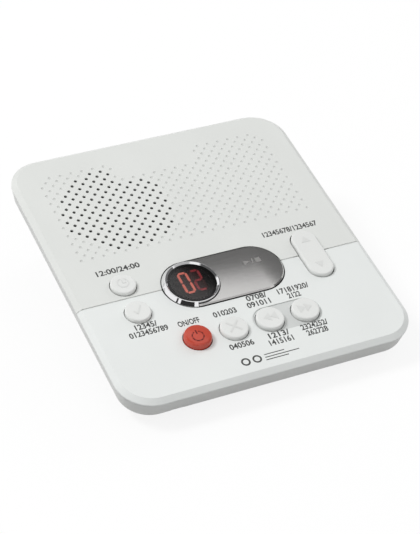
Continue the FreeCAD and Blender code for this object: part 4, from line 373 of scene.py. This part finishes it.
dress(pulp("cone_paper", (0.025, 0.024, 0.023), 2400), "speaker_cone")
dress(pulp("cap_felt", (0.03, 0.03, 0.03), 3600), "speaker_dust_cap")
dress(pulp("gasket_felt", (0.045, 0.043, 0.04), 2800), "speaker_gasket")
dress(pulp("tag_board", (0.24, 0.14, 0.06), 1800), "speaker_terminals")
dress(moulded("ground_ferrite", (0.05, 0.05, 0.053), 0.6, 1.5e-5), "speaker_magnet")
dress(banded("coil_wire", "Z", 0.2e-3, (0.4, 0.16, 0.06), (0.75, 0.36, 0.16), 0.25, 0.9), "voice_coil")
dress(lead_pair("speaker_lead_covers", "speaker_leads", "Y", RED_COVER, BLACK_COVER), "speaker_leads")


# ---------------------------------------------------------------- microphone
# An electret capsule in a rubber boot behind the notch in the front rim. The boot keeps the case's
# rattle out of it, and two thin leads take its signal to the key board.
dress(rubber("boot_rubber", (0.03, 0.03, 0.032), 0.2), "microphone_boot")
dress(plated("capsule_can", (0.6, 0.6, 0.6), 0.3), "microphone")
dress(lead_pair("microphone_lead_covers", "microphone_leads", "X", (0.5, 0.5, 0.48), BLACK_COVER),
      "microphone_leads")


# ---------------------------------------------------------------- covers
# Two mouldings that meet at a seam across the machine: the speaker grille and one round key are in the
# rear one, the other round keys in the front one. The grille's pattern carries on as shallow dimples.
MM = 0.001
DISPLAY_MIDDLE = (-17.9, -21.5, 0.8)        # middle of the window on the panel
normal = Vector(next(joint["axis"] for joint in frame["joints"] if joint["name"] == "play_press"))
window_low, window_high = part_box("display_window")
tilted = Vector((1, 0, 0)), Vector((0, normal.z, -normal.y)), normal
PANEL = Matrix(tilted).transposed().to_4x4() @ Matrix.Scale(MM, 4)
PANEL.translation = (window_low + window_high) / 2 - PANEL.to_3x3() @ Vector(DISPLAY_MIDDLE)
# the front cover's white is lighter than the rear's, though both are one plastic: painted sheen
REAR_WHITE, FRONT_WHITE = (0.755, 0.77, 0.748), (0.815, 0.838, 0.825)
COVER_GLOSS = 0.4
# half the width of the recess round two keys, the blur of its edge, and its greyness, which is painted shade
RECESS_HALF, RECESS_BLUR, RECESS_SHADE = 8.3, 0.2, 0.8
# the seam's strips are a shade darker than the rear cover: painted shade in the seam
SEAM_LINE, SEAM_HALF, SEAM_LEVELS, SEAM_CLEAR, SEAM_SHADE = -20.2, 0.14, (-2.1, -0.27), 0.9, 0.9
LATTICE_STEP, LATTICE_START = 3.0, (-33.74, 39.76)
HOLE_RADIUS, SPEAKER_MIDDLE, GRILLE_RADIUS = 0.9, (-33.0, 39.0), 29.14
DISH_SHARES, DISH_SIDES = (0.3, 0.6, 0.85, 1.15), 14    # a dimple's rings, as shares of its radius
NO_HOLES = (-26.2, 56.3)                    # holes stop right of and behind this corner
BARE = (-23.2, 21.8, 59.3)                  # the bare place: left, right and front limits
FIELD_COLUMNS, FIELD_ROWS = (-10, 32), (-10, 10)
DIMPLE_DEPTH = 0.42
RIM_INSIDE = (70.0, 76.0)                   # the covers' openings all lie inside this
OPENING_BACK = 5.0                          # painted shade: in front of this the openings' walls darken from the top down
OPENING_GAIN = 3                            # how much faster the painted shade darkens there
SEAM_AHEAD = (-0.5, 1.0)                    # the seam's wall, before and behind its line, gets no painted shade
RIM_SETBACK = 2.4                           # the seam's strips end this far inside the covers
WELD_REACH, CREASE_ANGLE = 2e-6, radians(18)
DISH_SHADE = (0.02 * MM, 0.38 * MM, 0.87)   # painted shade in the dimples: the two depths between which the plastic greys, and how far
# painted shade down the holes and the openings' walls: two depths and how dark
SHAFT_SHADE = (0.45 * MM, 1.0 * MM, 0.09)


def solid(name, points, faces, finish, body="machine"):
    """A flat-faced mesh drawn in millimetres on the panel, finished and carried by a body."""
    mesh = bpy.data.meshes.new(name)
    mesh.from_pydata([PANEL @ Vector(point) for point in points], [], faces)
    mesh.materials.append(finish)
    piece = bpy.data.objects.new(name, mesh)
    bpy.context.scene.collection.objects.link(piece)
    if body:
        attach(piece, body)
    return piece


def plate(outline, low, high):
    """Points and faces of a flat plate with this outline."""
    count = len(outline)
    points = [(x, y, low) for x, y in outline] + [(x, y, high) for x, y in outline]
    faces = [tuple(reversed(range(count))), tuple(range(count, 2 * count))]
    faces += [(step, (step + 1) % count, (step + 1) % count + count, step + count) for step in range(count)]
    return points, faces


def ring_stack(profile, middle, sides):
    """Points and faces of a turned shape: radii and heights round an upright axis, closed at both ends."""
    points, faces = [], []
    for radius, height in profile:
        for step in range(sides):
            turn = 2 * pi * step / sides
            points.append((middle[0] + radius * cos(turn), middle[1] + radius * sin(turn), height))
    for level in range(len(profile) - 1):
        for step in range(sides):
            ahead = (step + 1) % sides
            low, high = level * sides, (level + 1) * sides
            faces.append((low + step, low + ahead, high + ahead, high + step))
    faces.append(tuple(reversed(range(sides))))
    faces.append(tuple(range((len(profile) - 1) * sides, len(profile) * sides)))
    return points, faces


def dimple_spots():
    """The lattice points with a dimple: not those with a hole, nor those on the bare place."""
    for column in range(FIELD_COLUMNS[0], FIELD_COLUMNS[1] + 1):
        for row in range(FIELD_ROWS[0], FIELD_ROWS[1] + 1):
            x, y = LATTICE_START[0] + column * LATTICE_STEP, LATTICE_START[1] + row * LATTICE_STEP
            away = hypot(x - SPEAKER_MIDDLE[0], y - SPEAKER_MIDDLE[1])
            hole = away <= GRILLE_RADIUS and not (x > NO_HOLES[0] and y > NO_HOLES[1])
            bare = BARE[0] < x < BARE[1] and y > BARE[2]
            corner = row == FIELD_ROWS[1] and column in FIELD_COLUMNS
            if (column + row) % 2 == 0 and not (hole or bare or corner):
                yield x, y


def welded_copy(node, name):
    """A copy of a part's mesh with its split points joined, ready to be cut."""
    mesh = nodes[node].data.copy()
    mesh.attributes.remove(mesh.attributes["custom_normal"])
    work = bmesh.new()
    work.from_mesh(mesh)
    bmesh.ops.remove_doubles(work, verts=work.verts, dist=WELD_REACH)
    work.to_mesh(mesh)
    work.free()
    piece = bpy.data.objects.new(name, mesh)
    bpy.context.scene.collection.objects.link(piece)
    return piece


def crease(mesh, angle):
    """Smooth shading that breaks at every edge sharper than the angle."""
    work = bmesh.new()
    work.from_mesh(mesh)
    for face in work.faces:
        face.smooth = True
    for edge in work.edges:
        edge.smooth = len(edge.link_faces) == 2 and edge.calc_face_angle(0) < angle
    work.to_mesh(mesh)
    work.free()


def cut_away(piece, tool):
    """The tool's shape taken out of the piece; the tool is used up."""
    cutter = piece.modifiers.new("cut", "BOOLEAN")
    cutter.object, cutter.solver = tool, "EXACT"
    bpy.context.view_layer.update()
    result = bpy.data.meshes.new_from_object(piece.evaluated_get(bpy.context.evaluated_depsgraph_get()))
    piece.modifiers.clear()
    piece.data = result
    bpy.data.objects.remove(tool)


def panel_place(place, *names):
    """The wire's place along the panel's own axes, in metres, from the middle of these parts."""
    middle = sum((sum(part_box(name), Vector()) / 2 for name in names), Vector()) / len(names)
    moved = place.node("VectorMath", {"operation": "SUBTRACT"}, {0: place, 1: middle})
    back = {"Vector": moved, "Axis": (1, 0, 0), "Angle": -Vector((0, 0, 1)).angle(normal)}
    return moved.node("VectorRotate", {"rotation_type": "AXIS_ANGLE"}, back)


def sunk(place):
    """How far the wire's place lies below the deck, in metres."""
    level = place.node("VectorMath", {"operation": "DOT_PRODUCT"}, {0: place, 1: normal}, "Value")
    return normal.dot(PANEL @ Vector()) - level


def sunk_inside(place):
    """The same inside the covers' rims, and nothing outside them."""
    x, y = abs(place.axis("X")), abs(place.axis("Y"))
    return sunk(place) * (x < RIM_INSIDE[0] * MM) * (y < RIM_INSIDE[1] * MM)


def darker(skin, depth, tint, start, end, amount):
    """Painted shade: the skin's colour, mixed towards a share of the tint between two depths."""
    return depth.between(start, end).mix(skin, shade(tint, amount))


def rear_skin(name, tint):
    """The rear cover's plastic with painted shade: greyer in the dimples, dark down the holes and the
    openings' walls.
    """
    place = new_finish(name)
    y = place.axis("Y")
    ahead = y - (PANEL @ Vector((0, SEAM_LINE, 0))).y
    seam = (ahead > SEAM_AHEAD[0] * MM) * (ahead < SEAM_AHEAD[1] * MM)
    depth = sunk_inside(place) * ((y < OPENING_BACK * MM) * (1 - seam) * OPENING_GAIN + 1)
    skin = darker(flow_marks(place, tint), depth, tint, *DISH_SHADE)
    return spark_grain(place, darker(skin, depth, tint, *SHAFT_SHADE), COVER_GLOSS, SKIN_GRAIN)


def front_skin(name, tint):
    """The front cover's plastic, with painted shade: a little greyer on the recess floor round the last two
    keys, dark down the openings' walls.
    """
    place = new_finish(name)
    flat = panel_place(place, "repeat_key", "skip_key")
    reach = abs(flat.axis("X")) - abs(key_middle("skip_key")[0] - key_middle("repeat_key")[0]) / 2 * MM
    reach, y = reach.math("MAXIMUM", reach, 0.0), flat.axis("Y")
    away = reach.math("SQRT", reach * reach + y * y)
    floor_shade = 1 - away.between((RECESS_HALF - RECESS_BLUR) * MM, RECESS_HALF * MM)
    skin = floor_shade.mix(flow_marks(place, tint), shade(tint, RECESS_SHADE))
    return spark_grain(place, darker(skin, sunk_inside(place), tint, *SHAFT_SHADE), COVER_GLOSS, SKIN_GRAIN)


def key_middle(node):
    """Where a key stands on the panel, in millimetres."""
    low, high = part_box(node)
    spot = PANEL.inverted() @ ((low + high) / 2)
    return spot.x, spot.y


cover_plastic = rear_skin("cover_plastic", REAR_WHITE)
dish = [(HOLE_RADIUS * share, -DIMPLE_DEPTH * (1 - share ** 3)) for share in DISH_SHARES]
points, faces = [], []
for spot in dimple_spots():
    cap_points, cap_faces = ring_stack(dish, spot, DISH_SIDES)
    faces += [tuple(index + len(points) for index in face) for face in cap_faces]
    points += cap_points
dimples = solid("dimples", points, faces, cover_plastic, None)
dimpled = welded_copy("rear_cover", "rear_cover_dimpled")
cut_away(dimpled, dimples)
dimpled.data.materials.clear()
dimpled.data.materials.append(cover_plastic)
crease(dimpled.data, CREASE_ANGLE)
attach(dimpled, "machine")
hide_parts("rear_cover")
dress(front_skin("front_plastic", FRONT_WHITE), "front_cover")
# the tongue that shows down in the seam: three strips, parted by the display and the rocker, greyed as
# painted shade
seam_plastic = moulded("seam_plastic", shade(REAR_WHITE, SEAM_SHADE), COVER_GLOSS)
seam_stops = [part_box("rear_cover")[0].x / MM + RIM_SETBACK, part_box("display_ring")[0].x / MM,
              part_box("play_key")[1].x / MM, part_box("volume_key")[0].x / MM,
              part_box("volume_key")[1].x / MM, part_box("rear_cover")[1].x / MM - RIM_SETBACK]
for number, (start, end) in enumerate(zip(seam_stops[::2], seam_stops[1::2])):
    start, end, near, far = start + SEAM_CLEAR, end - SEAM_CLEAR, SEAM_LINE - SEAM_HALF, SEAM_LINE + SEAM_HALF
    points, faces = plate([(start, near), (end, near), (end, far), (start, far)], *SEAM_LEVELS)
    solid(f"seam_lip_{number}", points, faces, seam_plastic)


# ---------------------------------------------------------------- printed marks
# Pad-printed grey ink beside the keys: plain numbers, and ON/OFF over the red key. Near the front edge
# are two rings and three thin rules.
INK_HEIGHT = 0.02
CAPTION_TALL, CAPTION_BOLD = 3.4, 0.035     # height of a line, and the share of it added to each stroke
FONT_SCALE = 1.38                           # the font's size for a capital of height 1
STROKE_STEP, STROKE_CUTS = 0.015, 6         # each stroke of a sign is this much higher than the last
# name, words, middle across and along the panel, width
CAPTIONS = (("clock", "12:00/24:00", -49.3, -1.2, 23.0), ("setup_1", "12345/", -50.6, -39.6, 11.4),
            ("setup_2", "0123456789", -50.4, -43.7, 20.1), ("power", "ON/OFF", -29.7, -44.1, 11.4),
            ("delete_back", "010203", -10.2, -43.9, 12.4), ("delete_front", "040506", -11.2, -65.4, 12.8),
            ("repeat_1", "0708/", 9.0, -39.2, 11.0), ("repeat_2", "091011", 8.8, -43.5, 12.6),
            ("repeat_3", "1213/", 8.5, -64.9, 11.0), ("repeat_4", "1415161", 8.4, -69.0, 12.8),
            ("skip_1", "17181920/", 28.7, -39.8, 17.1), ("skip_2", "2122", 27.7, -43.9, 6.9),
            ("skip_3", "2324252/", 28.3, -64.9, 14.4), ("skip_4", "262728", 28.0, -69.0, 11.4),
            ("volume", "12345678/1234567", 45.8, -1.9, 31.0))
REELS, REEL_RADIUS, REEL_WIDE = ((-14.0, -75.8), (-8.0, -75.8)), 1.9, 0.9
RULES, RULE_WIDE = ((-3.7, 7.0, -74.5), (-3.9, 14.3, -76.2), (-4.0, 8.0, -77.8)), 0.5


def ink(name, tint):
    """Pad ink, a little uneven in its thickness."""
    uneven = new_finish(name).noise(3800, 2)
    return uneven.surface(Base_Color=uneven.mix(shade(tint, 0.8), shade(tint, 1.25)),
                          Roughness=uneven * 0.1 + 0.45)


def printed(name, words, x, y, wide, finish):
    """One line of print on the deck, centred on a place and as wide as given."""
    text = bpy.data.curves.new(name, "FONT")
    text.body, text.align_x, text.align_y = words, "CENTER", "CENTER"
    text.size, text.extrude = CAPTION_TALL * FONT_SCALE, INK_HEIGHT / 2
    text.offset, text.resolution_u = CAPTION_TALL * CAPTION_BOLD, 3
    shape = bpy.data.objects.new(name, text)
    bpy.context.scene.collection.objects.link(shape)
    bpy.context.view_layer.update()
    mesh = bpy.data.meshes.new_from_object(shape.evaluated_get(bpy.context.evaluated_depsgraph_get()))
    narrow = wide / shape.dimensions.x
    bpy.data.objects.remove(shape)
    mesh.transform(PANEL @ Matrix.Translation((x, y, INK_HEIGHT / 2)) @ Matrix.Diagonal((narrow, 1, 1, 1)))
    mesh.materials.clear()
    mesh.materials.append(finish)
    piece = bpy.data.objects.new(name, mesh)
    bpy.context.scene.collection.objects.link(piece)
    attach(piece, "machine")


def surface_under(mesh):
    """A function that gives the height of a mesh's top at a place on the panel, in millimetres."""
    tree = BVHTree.FromPolygons([vertex.co for vertex in mesh.vertices],
                                [face.vertices for face in mesh.polygons])
    return lambda x, y: (PANEL.inverted() @ tree.ray_cast(PANEL @ Vector((x, y, 9)), -normal)[0]).z


def symbol(name, outlines, middle, low, high, finish, body, carrier=None):
    """One raised sign made of outlines, at a place on the panel. With a carrier, its levels are counted from
    the carrier's top, which it follows. Each stroke is a hair higher than the last, so none share a face."""
    points, faces = [], []
    height = surface_under(carrier) if carrier else lambda x, y: 0.0
    for number, outline in enumerate(outlines):
        placed = [(middle[0] + x, middle[1] + y) for x, y in outline]
        more_points, more_faces = plate(placed, low, high + number * STROKE_STEP)
        faces += [tuple(index + len(points) for index in face) for face in more_faces]
        points += [(x, y, level + height(x, y)) for x, y, level in more_points]
    solid(name, points, faces, finish, body)


def arc(radius, start, end, steps):
    """Points along an arc, between two angles in degrees."""
    return [(radius * cos(radians(start + (end - start) * step / steps)),
             radius * sin(radians(start + (end - start) * step / steps))) for step in range(steps + 1)]


def band(radius, wide, start, end, steps=28):
    """A strip of a ring, as a closed outline."""
    return arc(radius - wide / 2, start, end, steps)[::-1] + arc(radius + wide / 2, start, end, steps)


def stroke(first, last, wide):
    """A straight stroke between two points, as a closed outline."""
    first, last = Vector(first), Vector(last)
    way = (last - first).normalized() * (wide / 2)
    side = Vector((-way.y, way.x))
    line = [first.lerp(last, step / STROKE_CUTS) for step in range(STROKE_CUTS + 1)]
    return [tuple(point - side) for point in line] + [tuple(point + side) for point in reversed(line)]


grey_ink = ink("grey_ink", (0.062, 0.064, 0.062))
for spot, words, x, y, wide in CAPTIONS:
    printed("caption_" + spot, words, x, y, wide, grey_ink)
for number, spot in enumerate(REELS):
    symbol(f"print_ring_{number}", [band(REEL_RADIUS, REEL_WIDE, 0, 359, 32)], spot, 0, INK_HEIGHT,
           grey_ink, "machine")
for number, (start, end, level) in enumerate(RULES):
    symbol(f"print_rule_{number}", [stroke((start, 0), (end, 0), RULE_WIDE)], (0, level), 0, INK_HEIGHT,
           grey_ink, "machine")


# ---------------------------------------------------------------- display
# A chromed ring round a smoked acrylic window. Behind the window a black two-digit module shows red
# seven-segment digits, here a nought and a two.
DIGIT_PITCH, SEGMENT_END = 6.5, 1.5
MIDDLE_BAR, SIDE_START = 0.9, 0.3           # half the middle bars' band; the side bars start this far out
# how far the painted glow of the lit segments reaches on the module's face, across and along
HAZE_ACROSS, HAZE_ALONG = (3.0, 7.5), (4.0, 9.0)
ORANGE, CRIMSON = (0.84, 0.21, 0.15), (0.3, 0.03, 0.038)
# the colour of that painted glow
GLOW = (0.05, 0.008, 0.008)
WINDOW_CLEAR = 11.2                         # radius of the clear part of the window


def digit_glow(name):
    """Segments that glow where they are lit: the left digit's middle bar is dark, and so are the right
    digit's upper left and lower right bars."""
    flat = panel_place(new_finish(name), "digit_segments")
    x, y = flat.axis("X"), flat.axis("Y")
    left = x < 0.0
    across = abs(x) - DIGIT_PITCH / 2 * MM
    bar = SEGMENT_END * MM
    side = abs(across) > bar
    level = abs(y) < MIDDLE_BAR * MM
    middle_bar = left * level * (abs(across) < bar * 1.2)
    upper_left = (1 - left) * side * (across < 0.0) * (y > SIDE_START * MM)
    lower_right = (1 - left) * side * (across > 0.0) * (y < -SIDE_START * MM)
    lit = 1 - (middle_bar + upper_left + lower_right)
    uneven = flat.noise(700, 2).between(0.2, 0.8)
    glow = left.mix(uneven.mix(CRIMSON, shade(CRIMSON, 0.7)), uneven.mix(ORANGE, shade(ORANGE, 0.75)))
    return flat.surface(Base_Color=(0.1, 0.02, 0.02), Emission_Color=lit.mix((0.02, 0.004, 0.004), glow),
                        Emission_Strength=2.2, Roughness=uneven * 0.1 + 0.4)


def module_black(name):
    """The module's black face, with a painted glow where the lit segments would light it."""
    place = new_finish(name)
    flat = panel_place(place, "digit_segments")
    across = abs(flat.axis("X")).between(*(edge * MM for edge in HAZE_ACROSS))
    along = abs(flat.axis("Y")).between(*(edge * MM for edge in HAZE_ALONG))
    near = (1 - across) * (1 - along)
    grain = place.noise(3000, 2)
    return place.surface(Base_Color=grain.mix((0.006, 0.006, 0.007), (0.01, 0.01, 0.011)),
                         Emission_Color=near.mix((0.0, 0.0, 0.0), GLOW), Emission_Strength=1.0,
                         Roughness=grain * 0.1 + 0.5)


def chrome(name):
    """Bright chrome with a faint haze."""
    place = new_finish(name)
    haze = place.noise(420, 3)
    return place.surface(Base_Color=haze.mix((0.86, 0.86, 0.87), (0.93, 0.93, 0.94)), Metallic=1.0,
                         Roughness=haze * 0.05 + 0.02)


def smoked_acrylic(name, tint):
    """A clear smoked sheet, printed black behind its border."""
    place = new_finish(name)
    flat = panel_place(place, "display_window")
    film = place.noise(260, 3)
    x, y = flat.axis("X"), flat.axis("Y")
    border = (x * x + y * y) > (WINDOW_CLEAR * MM) ** 2
    return place.surface(Base_Color=border.mix(film.mix(shade(tint, 0.9), tint), (0.0, 0.0, 0.0)),
                         Roughness=film * 0.02 + 0.01, Transmission_Weight=1.0, IOR=1.49)


dress(digit_glow("lit_segments"), "digit_segments")
dress(module_black("module_face"), "display_module")
dress(chrome("ring_chrome"), "display_ring")
dress(smoked_acrylic("smoked_window", (0.33, 0.315, 0.315)), "display_window")


# ---------------------------------------------------------------- play bar
# A bar with a brushed aluminium face, black low down as painted shade for the gap round it, pressed to play
# and to stop. The face is crowned and falls away to its free end, and its symbols are coined in it.
BAR_HALF, BAR_CROWN, BAR_BACK_CROWN = 15.1, 0.3, 0.5    # half its width; the fall to its near and far side
BAR_END_LONG, BAR_END_FALL = 13.0, 0.4
BAR_CUTS, FACE_DEPTH = 26, 0.5              # the fall fades out from this height down to the deck
BAR_LEDGE, LEDGE_LIFT = -4.2, 0.06          # the ledge stays clear of the domes when the bar is down
CUT_SLACK, LEVEL_SLACK = 1e-5, 0.02
SYMBOL_RISE, PLAY_SPOT = 0.06, (17.0, -17.2)
SIGN_ROOT = 0.05                            # every raised sign starts this far inside what carries it
SKIRT_TOP, SKIRT_BLACK = 0.32, (0.012, 0.012, 0.012)   # below this height the bar is black: painted shade for the gap round it


def brushed(name, tint):
    """Metal with fine lines along X, black below the skirt's top as painted shade."""
    place = new_finish(name)
    flat = panel_place(place, "play_key")
    lines = flat.stretched(0.02, 1, 1).noise(9000, 2)
    broad = flat.stretched(0.08, 1, 1).noise(700, 2)
    streaks = lines * 0.6 + broad * 0.4
    face = 1 - sunk(place).between(-SKIRT_TOP * MM, -SKIRT_TOP * MM + 1e-5)
    return place.surface(Base_Color=face.mix(SKIRT_BLACK, streaks.mix(shade(tint, 0.9), shade(tint, 1.06))),
                         Metallic=face, Roughness=streaks * 0.07 + 0.11, Normal=lines.bump(3e-6))


def triangle(tip, half, x):
    """A triangle that points along X from x to x + tip."""
    return [(x, -half), (x + tip, 0), (x, half)] if tip > 0 else [(x, half), (x + tip, 0), (x, -half)]


def frosted(name, tint):
    """The same metal left matt by the coining die."""
    grit = new_finish(name).noise(7000, 2)
    return grit.surface(Base_Color=grit.mix(shade(tint, 0.9), shade(tint, 1.05)), Metallic=1.0,
                        Roughness=grit * 0.1 + 0.55, Normal=grit.bump(8e-6))


def crowned_bar(name):
    """The bar with its face crowned from side to side and falling away to its free end."""
    bar = welded_copy("play_key", name)
    bar.data.transform(PANEL.inverted())
    work = bmesh.new()
    work.from_mesh(bar.data)
    end = max(vertex.co.x for vertex in work.verts)
    middle = DISPLAY_MIDDLE[1]
    for cut in range(1, BAR_CUTS):
        level = middle - BAR_HALF + 2 * BAR_HALF * cut / BAR_CUTS
        short = end - BAR_END_LONG * cut / BAR_CUTS
        for spot, way in (((0, level, 0), (0, 1, 0)), ((short, 0, 0), (1, 0, 0))):
            bmesh.ops.bisect_plane(work, geom=work.verts[:] + work.edges[:] + work.faces[:], dist=CUT_SLACK,
                                   plane_co=spot, plane_no=way)
    for vertex in work.verts:
        if vertex.co.z > 0:
            across = (vertex.co.y - middle) / BAR_HALF
            along = max(vertex.co.x - end + BAR_END_LONG, 0) / BAR_END_LONG
            crown = BAR_CROWN if across < 0 else BAR_BACK_CROWN
            fall = crown * across * across + BAR_END_FALL * along * along
            vertex.co.z -= fall * min(vertex.co.z / FACE_DEPTH, 1)
        elif abs(vertex.co.z - BAR_LEDGE) < LEVEL_SLACK:
            vertex.co.z += LEDGE_LIFT
    work.to_mesh(bar.data)
    work.free()
    bar.data.transform(PANEL)
    crease(bar.data, CREASE_ANGLE)
    return bar


bar = crowned_bar("play_bar")
bar.data.materials.clear()
bar.data.materials.append(brushed("bar_aluminium", (0.72, 0.71, 0.7)))
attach(bar, "play_key")
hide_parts("play_key")
PLAY_TRIANGLE = triangle(3.2, 1.5, -4.6)
PLAY_SLASH = [(-0.4, -1.7), (0.0, -1.7), (0.7, 1.7), (0.3, 1.7)]
STOP_SQUARE = [(1.8, -1.4), (4.6, -1.4), (4.6, 1.4), (1.8, 1.4)]
symbol("play_symbol", [PLAY_TRIANGLE, PLAY_SLASH, STOP_SQUARE], PLAY_SPOT, -SIGN_ROOT, SYMBOL_RISE,
       frosted("coined_aluminium", (0.6, 0.59, 0.58)), "play_key", bar.data)


# ---------------------------------------------------------------- round keys
# Six glossy ABS caps, five white and one red. Each has its sign moulded a little proud of its top; the
# red one's is printed black.
KEY_RISE, KEY_SIGN_RISE = 2.0, 0.1
KEY_WHITE, KEY_RED = (0.795, 0.806, 0.79), (0.54, 0.07, 0.042)
RED_TOP = Vector((-0.7, -1.8))              # the middle of the taller red cap's top, from its box's middle
SIGNS = {
    "clock_key": [band(2.8, 0.7, 100, 430), stroke((0, -0.1), (0, 2.1), 0.7), stroke((0, 0), (1.6, 0), 0.7)],
    "setup_key": [stroke((-2.2, -0.3), (-0.8, -2.2), 0.8), stroke((-1.0, -2.4), (2.2, 2.6), 0.8)],
    "delete_key": [stroke((-3.1, -3.1), (3.1, 3.1), 1.0), stroke((-3.1, 3.1), (3.1, -3.1), 1.0)],
    "repeat_key": [triangle(-3.6, 2.7, 0.1), triangle(-3.6, 2.7, 3.7)],
    "skip_key": [triangle(3.6, 2.7, -0.1), triangle(3.6, 2.7, -3.7)],
}
key_plastic = moulded("key_plastic", KEY_WHITE, 0.26, 1.5e-6)
# the moulded signs are a shade darker than the caps: painted shade
sign_plastic = moulded("sign_plastic", shade(KEY_WHITE, 0.9), 0.35, 1.5e-6)
for node, outlines in SIGNS.items():
    dress(key_plastic, node)
    symbol(node.replace("key", "sign"), outlines, key_middle(node), KEY_RISE - SIGN_ROOT,
           KEY_RISE + KEY_SIGN_RISE, sign_plastic, node)
dress(moulded("red_plastic", KEY_RED, 0.22, 1e-6), "power_key")
symbol("power_sign", [band(2.85, 0.65, 112, 428), stroke((0, 1.2), (0, 3.7), 0.65)],
       Vector(key_middle("power_key")) + RED_TOP, -SIGN_ROOT, INK_HEIGHT,
       ink("power_ink", (0.13, 0.008, 0.005)), "power_key", nodes["power_key"].data)


# ---------------------------------------------------------------- volume rocker
# One long cap of the keys' plastic that tips on two trunnions over a dome at each end. A small raised
# triangle at each end shows which way is louder.
ROCKER_SIGN, ROCKER_TIP, ROCKER_ARM = 2.4, 4.0, 7.2     # a triangle's half width, height and place
rocker = key_middle("volume_key")
for name, way in (("louder", 1), ("softer", -1)):
    outline = [(-way * ROCKER_SIGN, 0), (way * ROCKER_SIGN, 0), (0, way * ROCKER_TIP)]
    symbol(name + "_sign", [outline], (rocker[0], rocker[1] + way * ROCKER_ARM), KEY_RISE - SIGN_ROOT,
           KEY_RISE + KEY_SIGN_RISE, sign_plastic, "volume_key")
dress(key_plastic, "volume_key")


# ---------------------------------------------------------------- the studio
# A white floor under one broad lamp from the upper left and a weak, low one from the right, in a pale
# surround. The camera stands to the left of the machine and looks down on it.
CAMERA_AIM, CAMERA_AWAY = (-4.4, -13.6, 0.0), 0.8669
CAMERA_TURN, CAMERA_DOWN, CAMERA_ROLL = 26.41, 34.19, 1.71
FOCAL_PIXELS, PICTURE_TALL, SENSOR = 1744.0, 534.0, 36.0
scene = bpy.context.scene
camera = bpy.data.objects.new("camera", bpy.data.cameras.new("camera"))
camera.data.lens = FOCAL_PIXELS / PICTURE_TALL * SENSOR
camera.data.clip_start, camera.data.clip_end = 0.01, 20
turned = Matrix.Rotation(radians(-CAMERA_TURN), 4, "Z") @ Matrix.Rotation(radians(90 - CAMERA_DOWN), 4, "X")
camera.matrix_world = (Matrix.Translation(PANEL @ Vector(CAMERA_AIM)) @ turned
                       @ Matrix.Rotation(radians(CAMERA_ROLL), 4, "Z")
                       @ Matrix.Translation((0, 0, CAMERA_AWAY)))
scene.collection.objects.link(camera)
scene.camera = camera
scene.view_settings.view_transform = "Standard"

FLOOR_HALF = 3.0
PAPER_GREY, PAPER_WHITE, PAPER_GLOW = (0.45, 0.45, 0.45), (0.96, 0.96, 0.96), 0.86
corners = [(x * FLOOR_HALF, y * FLOOR_HALF, 0) for x, y in ((-1, -1), (1, -1), (1, 1), (-1, 1))]
floor_mesh = bpy.data.meshes.new("floor")
floor_mesh.from_pydata(corners, [], [(0, 1, 2, 3)])
floor = bpy.data.objects.new("floor", floor_mesh)
scene.collection.objects.link(floor)
paper = new_finish("studio_paper")
seen = paper.node("LightPath", {}, {}, "Is Camera Ray")
mirrored = paper.node("LightPath", {}, {}, "Is Glossy Ray")
through = paper.node("LightPath", {}, {}, "Is Transmission Ray")
bright = paper.math("MINIMUM", seen + mirrored + through, 1.0)
matt = paper.node("BsdfDiffuse", {}, {"Color": bright.mix(PAPER_GREY, PAPER_WHITE)})
lit = paper.node("Emission", {}, {"Color": (1, 1, 1, 1), "Strength": 1.0})
sheet = paper.node("MixShader", {}, {0: bright * PAPER_GLOW, 1: matt, 2: lit})
paper.node("OutputMaterial", {}, {"Surface": sheet})
floor_mesh.materials.append(paper.owner)

# the surround: a plain pale dome for light, white to the camera, and for mirrors a soft bank of light
# whose edge crosses the display window
world = bpy.data.worlds.new("surround")
world.use_nodes = True
world.node_tree.nodes.clear()
scene.world = world
AMBIENT = 0.6
# what mirrors see dark: the direction, the cosine at which it ends, the fade beyond that, and how dark
DARK_SPOTS = (((-0.519, -0.830, 0.2), 0.925, 0.001, 0.97), ((-0.8916, -0.3785, 0.2487), 0.9982, 0.001, 0.97),
              ((-0.9908, 0.0346, 0.1305), 0.9965, 0.001, 0.97), ((-0.545, 0.031, 0.838), 0.84, 0.06, 0.9),
              ((0.371, -0.661, 0.652), 0.9, 0.05, 0.5))
BANK_EDGE, BANK_LEVELS, BANK_BLUR = (0.66193, 0.51809, -0.54169), (0.95, 0.16), 0.006
heading = Wire(world, None).node("TexCoord", {}, {}, "Generated")
seen = heading.node("LightPath", {}, {}, "Is Camera Ray")
mirrored = heading.node("LightPath", {}, {}, "Is Glossy Ray")
edge = heading.node("VectorMath", {"operation": "DOT_PRODUCT"}, {0: heading, 1: BANK_EDGE}, "Value")
bank = 1 - edge.between(-BANK_BLUR, BANK_BLUR)
bank = bank * (BANK_LEVELS[0] - BANK_LEVELS[1]) + BANK_LEVELS[1]
for spot, reach, fade, dim in DARK_SPOTS:
    near = heading.node("VectorMath", {"operation": "DOT_PRODUCT"}, {0: heading, 1: spot}, "Value")
    bank = bank * (1 - near.between(reach, reach + fade) * dim)
mirror_light = bank.node("CombineXYZ", {}, {0: bank, 1: bank, 2: bank})
plain = heading.node("CombineXYZ", {}, {0: AMBIENT, 1: AMBIENT, 2: AMBIENT})
tone = mirrored.mix(plain, mirror_light)
white = seen.mix(tone, (1.0, 1.0, 1.0))
dome = heading.node("Background", {}, {"Color": white, "Strength": 1.0})
heading.node("OutputWorld", {}, {"Surface": dome})


def lamp(name, place, aim, size, power):
    """A round lamp that mirrors don't show."""
    light = bpy.data.lights.new(name, "AREA")
    light.shape, light.size, light.energy = "DISK", size, power
    holder = bpy.data.objects.new(name, light)
    holder.location = place
    holder.rotation_euler = (Vector(place) - Vector(aim)).to_track_quat("Z", "Y").to_euler()
    holder.visible_glossy = False
    scene.collection.objects.link(holder)


MACHINE_MIDDLE = (0, 0, 0.03)
lamp("key_lamp", (-1.5, 0.6, 2.2), MACHINE_MIDDLE, 0.85, 35.3)
lamp("rim_lamp", (1.7, 0.7, 0.8), MACHINE_MIDDLE, 1.2, 7.0)
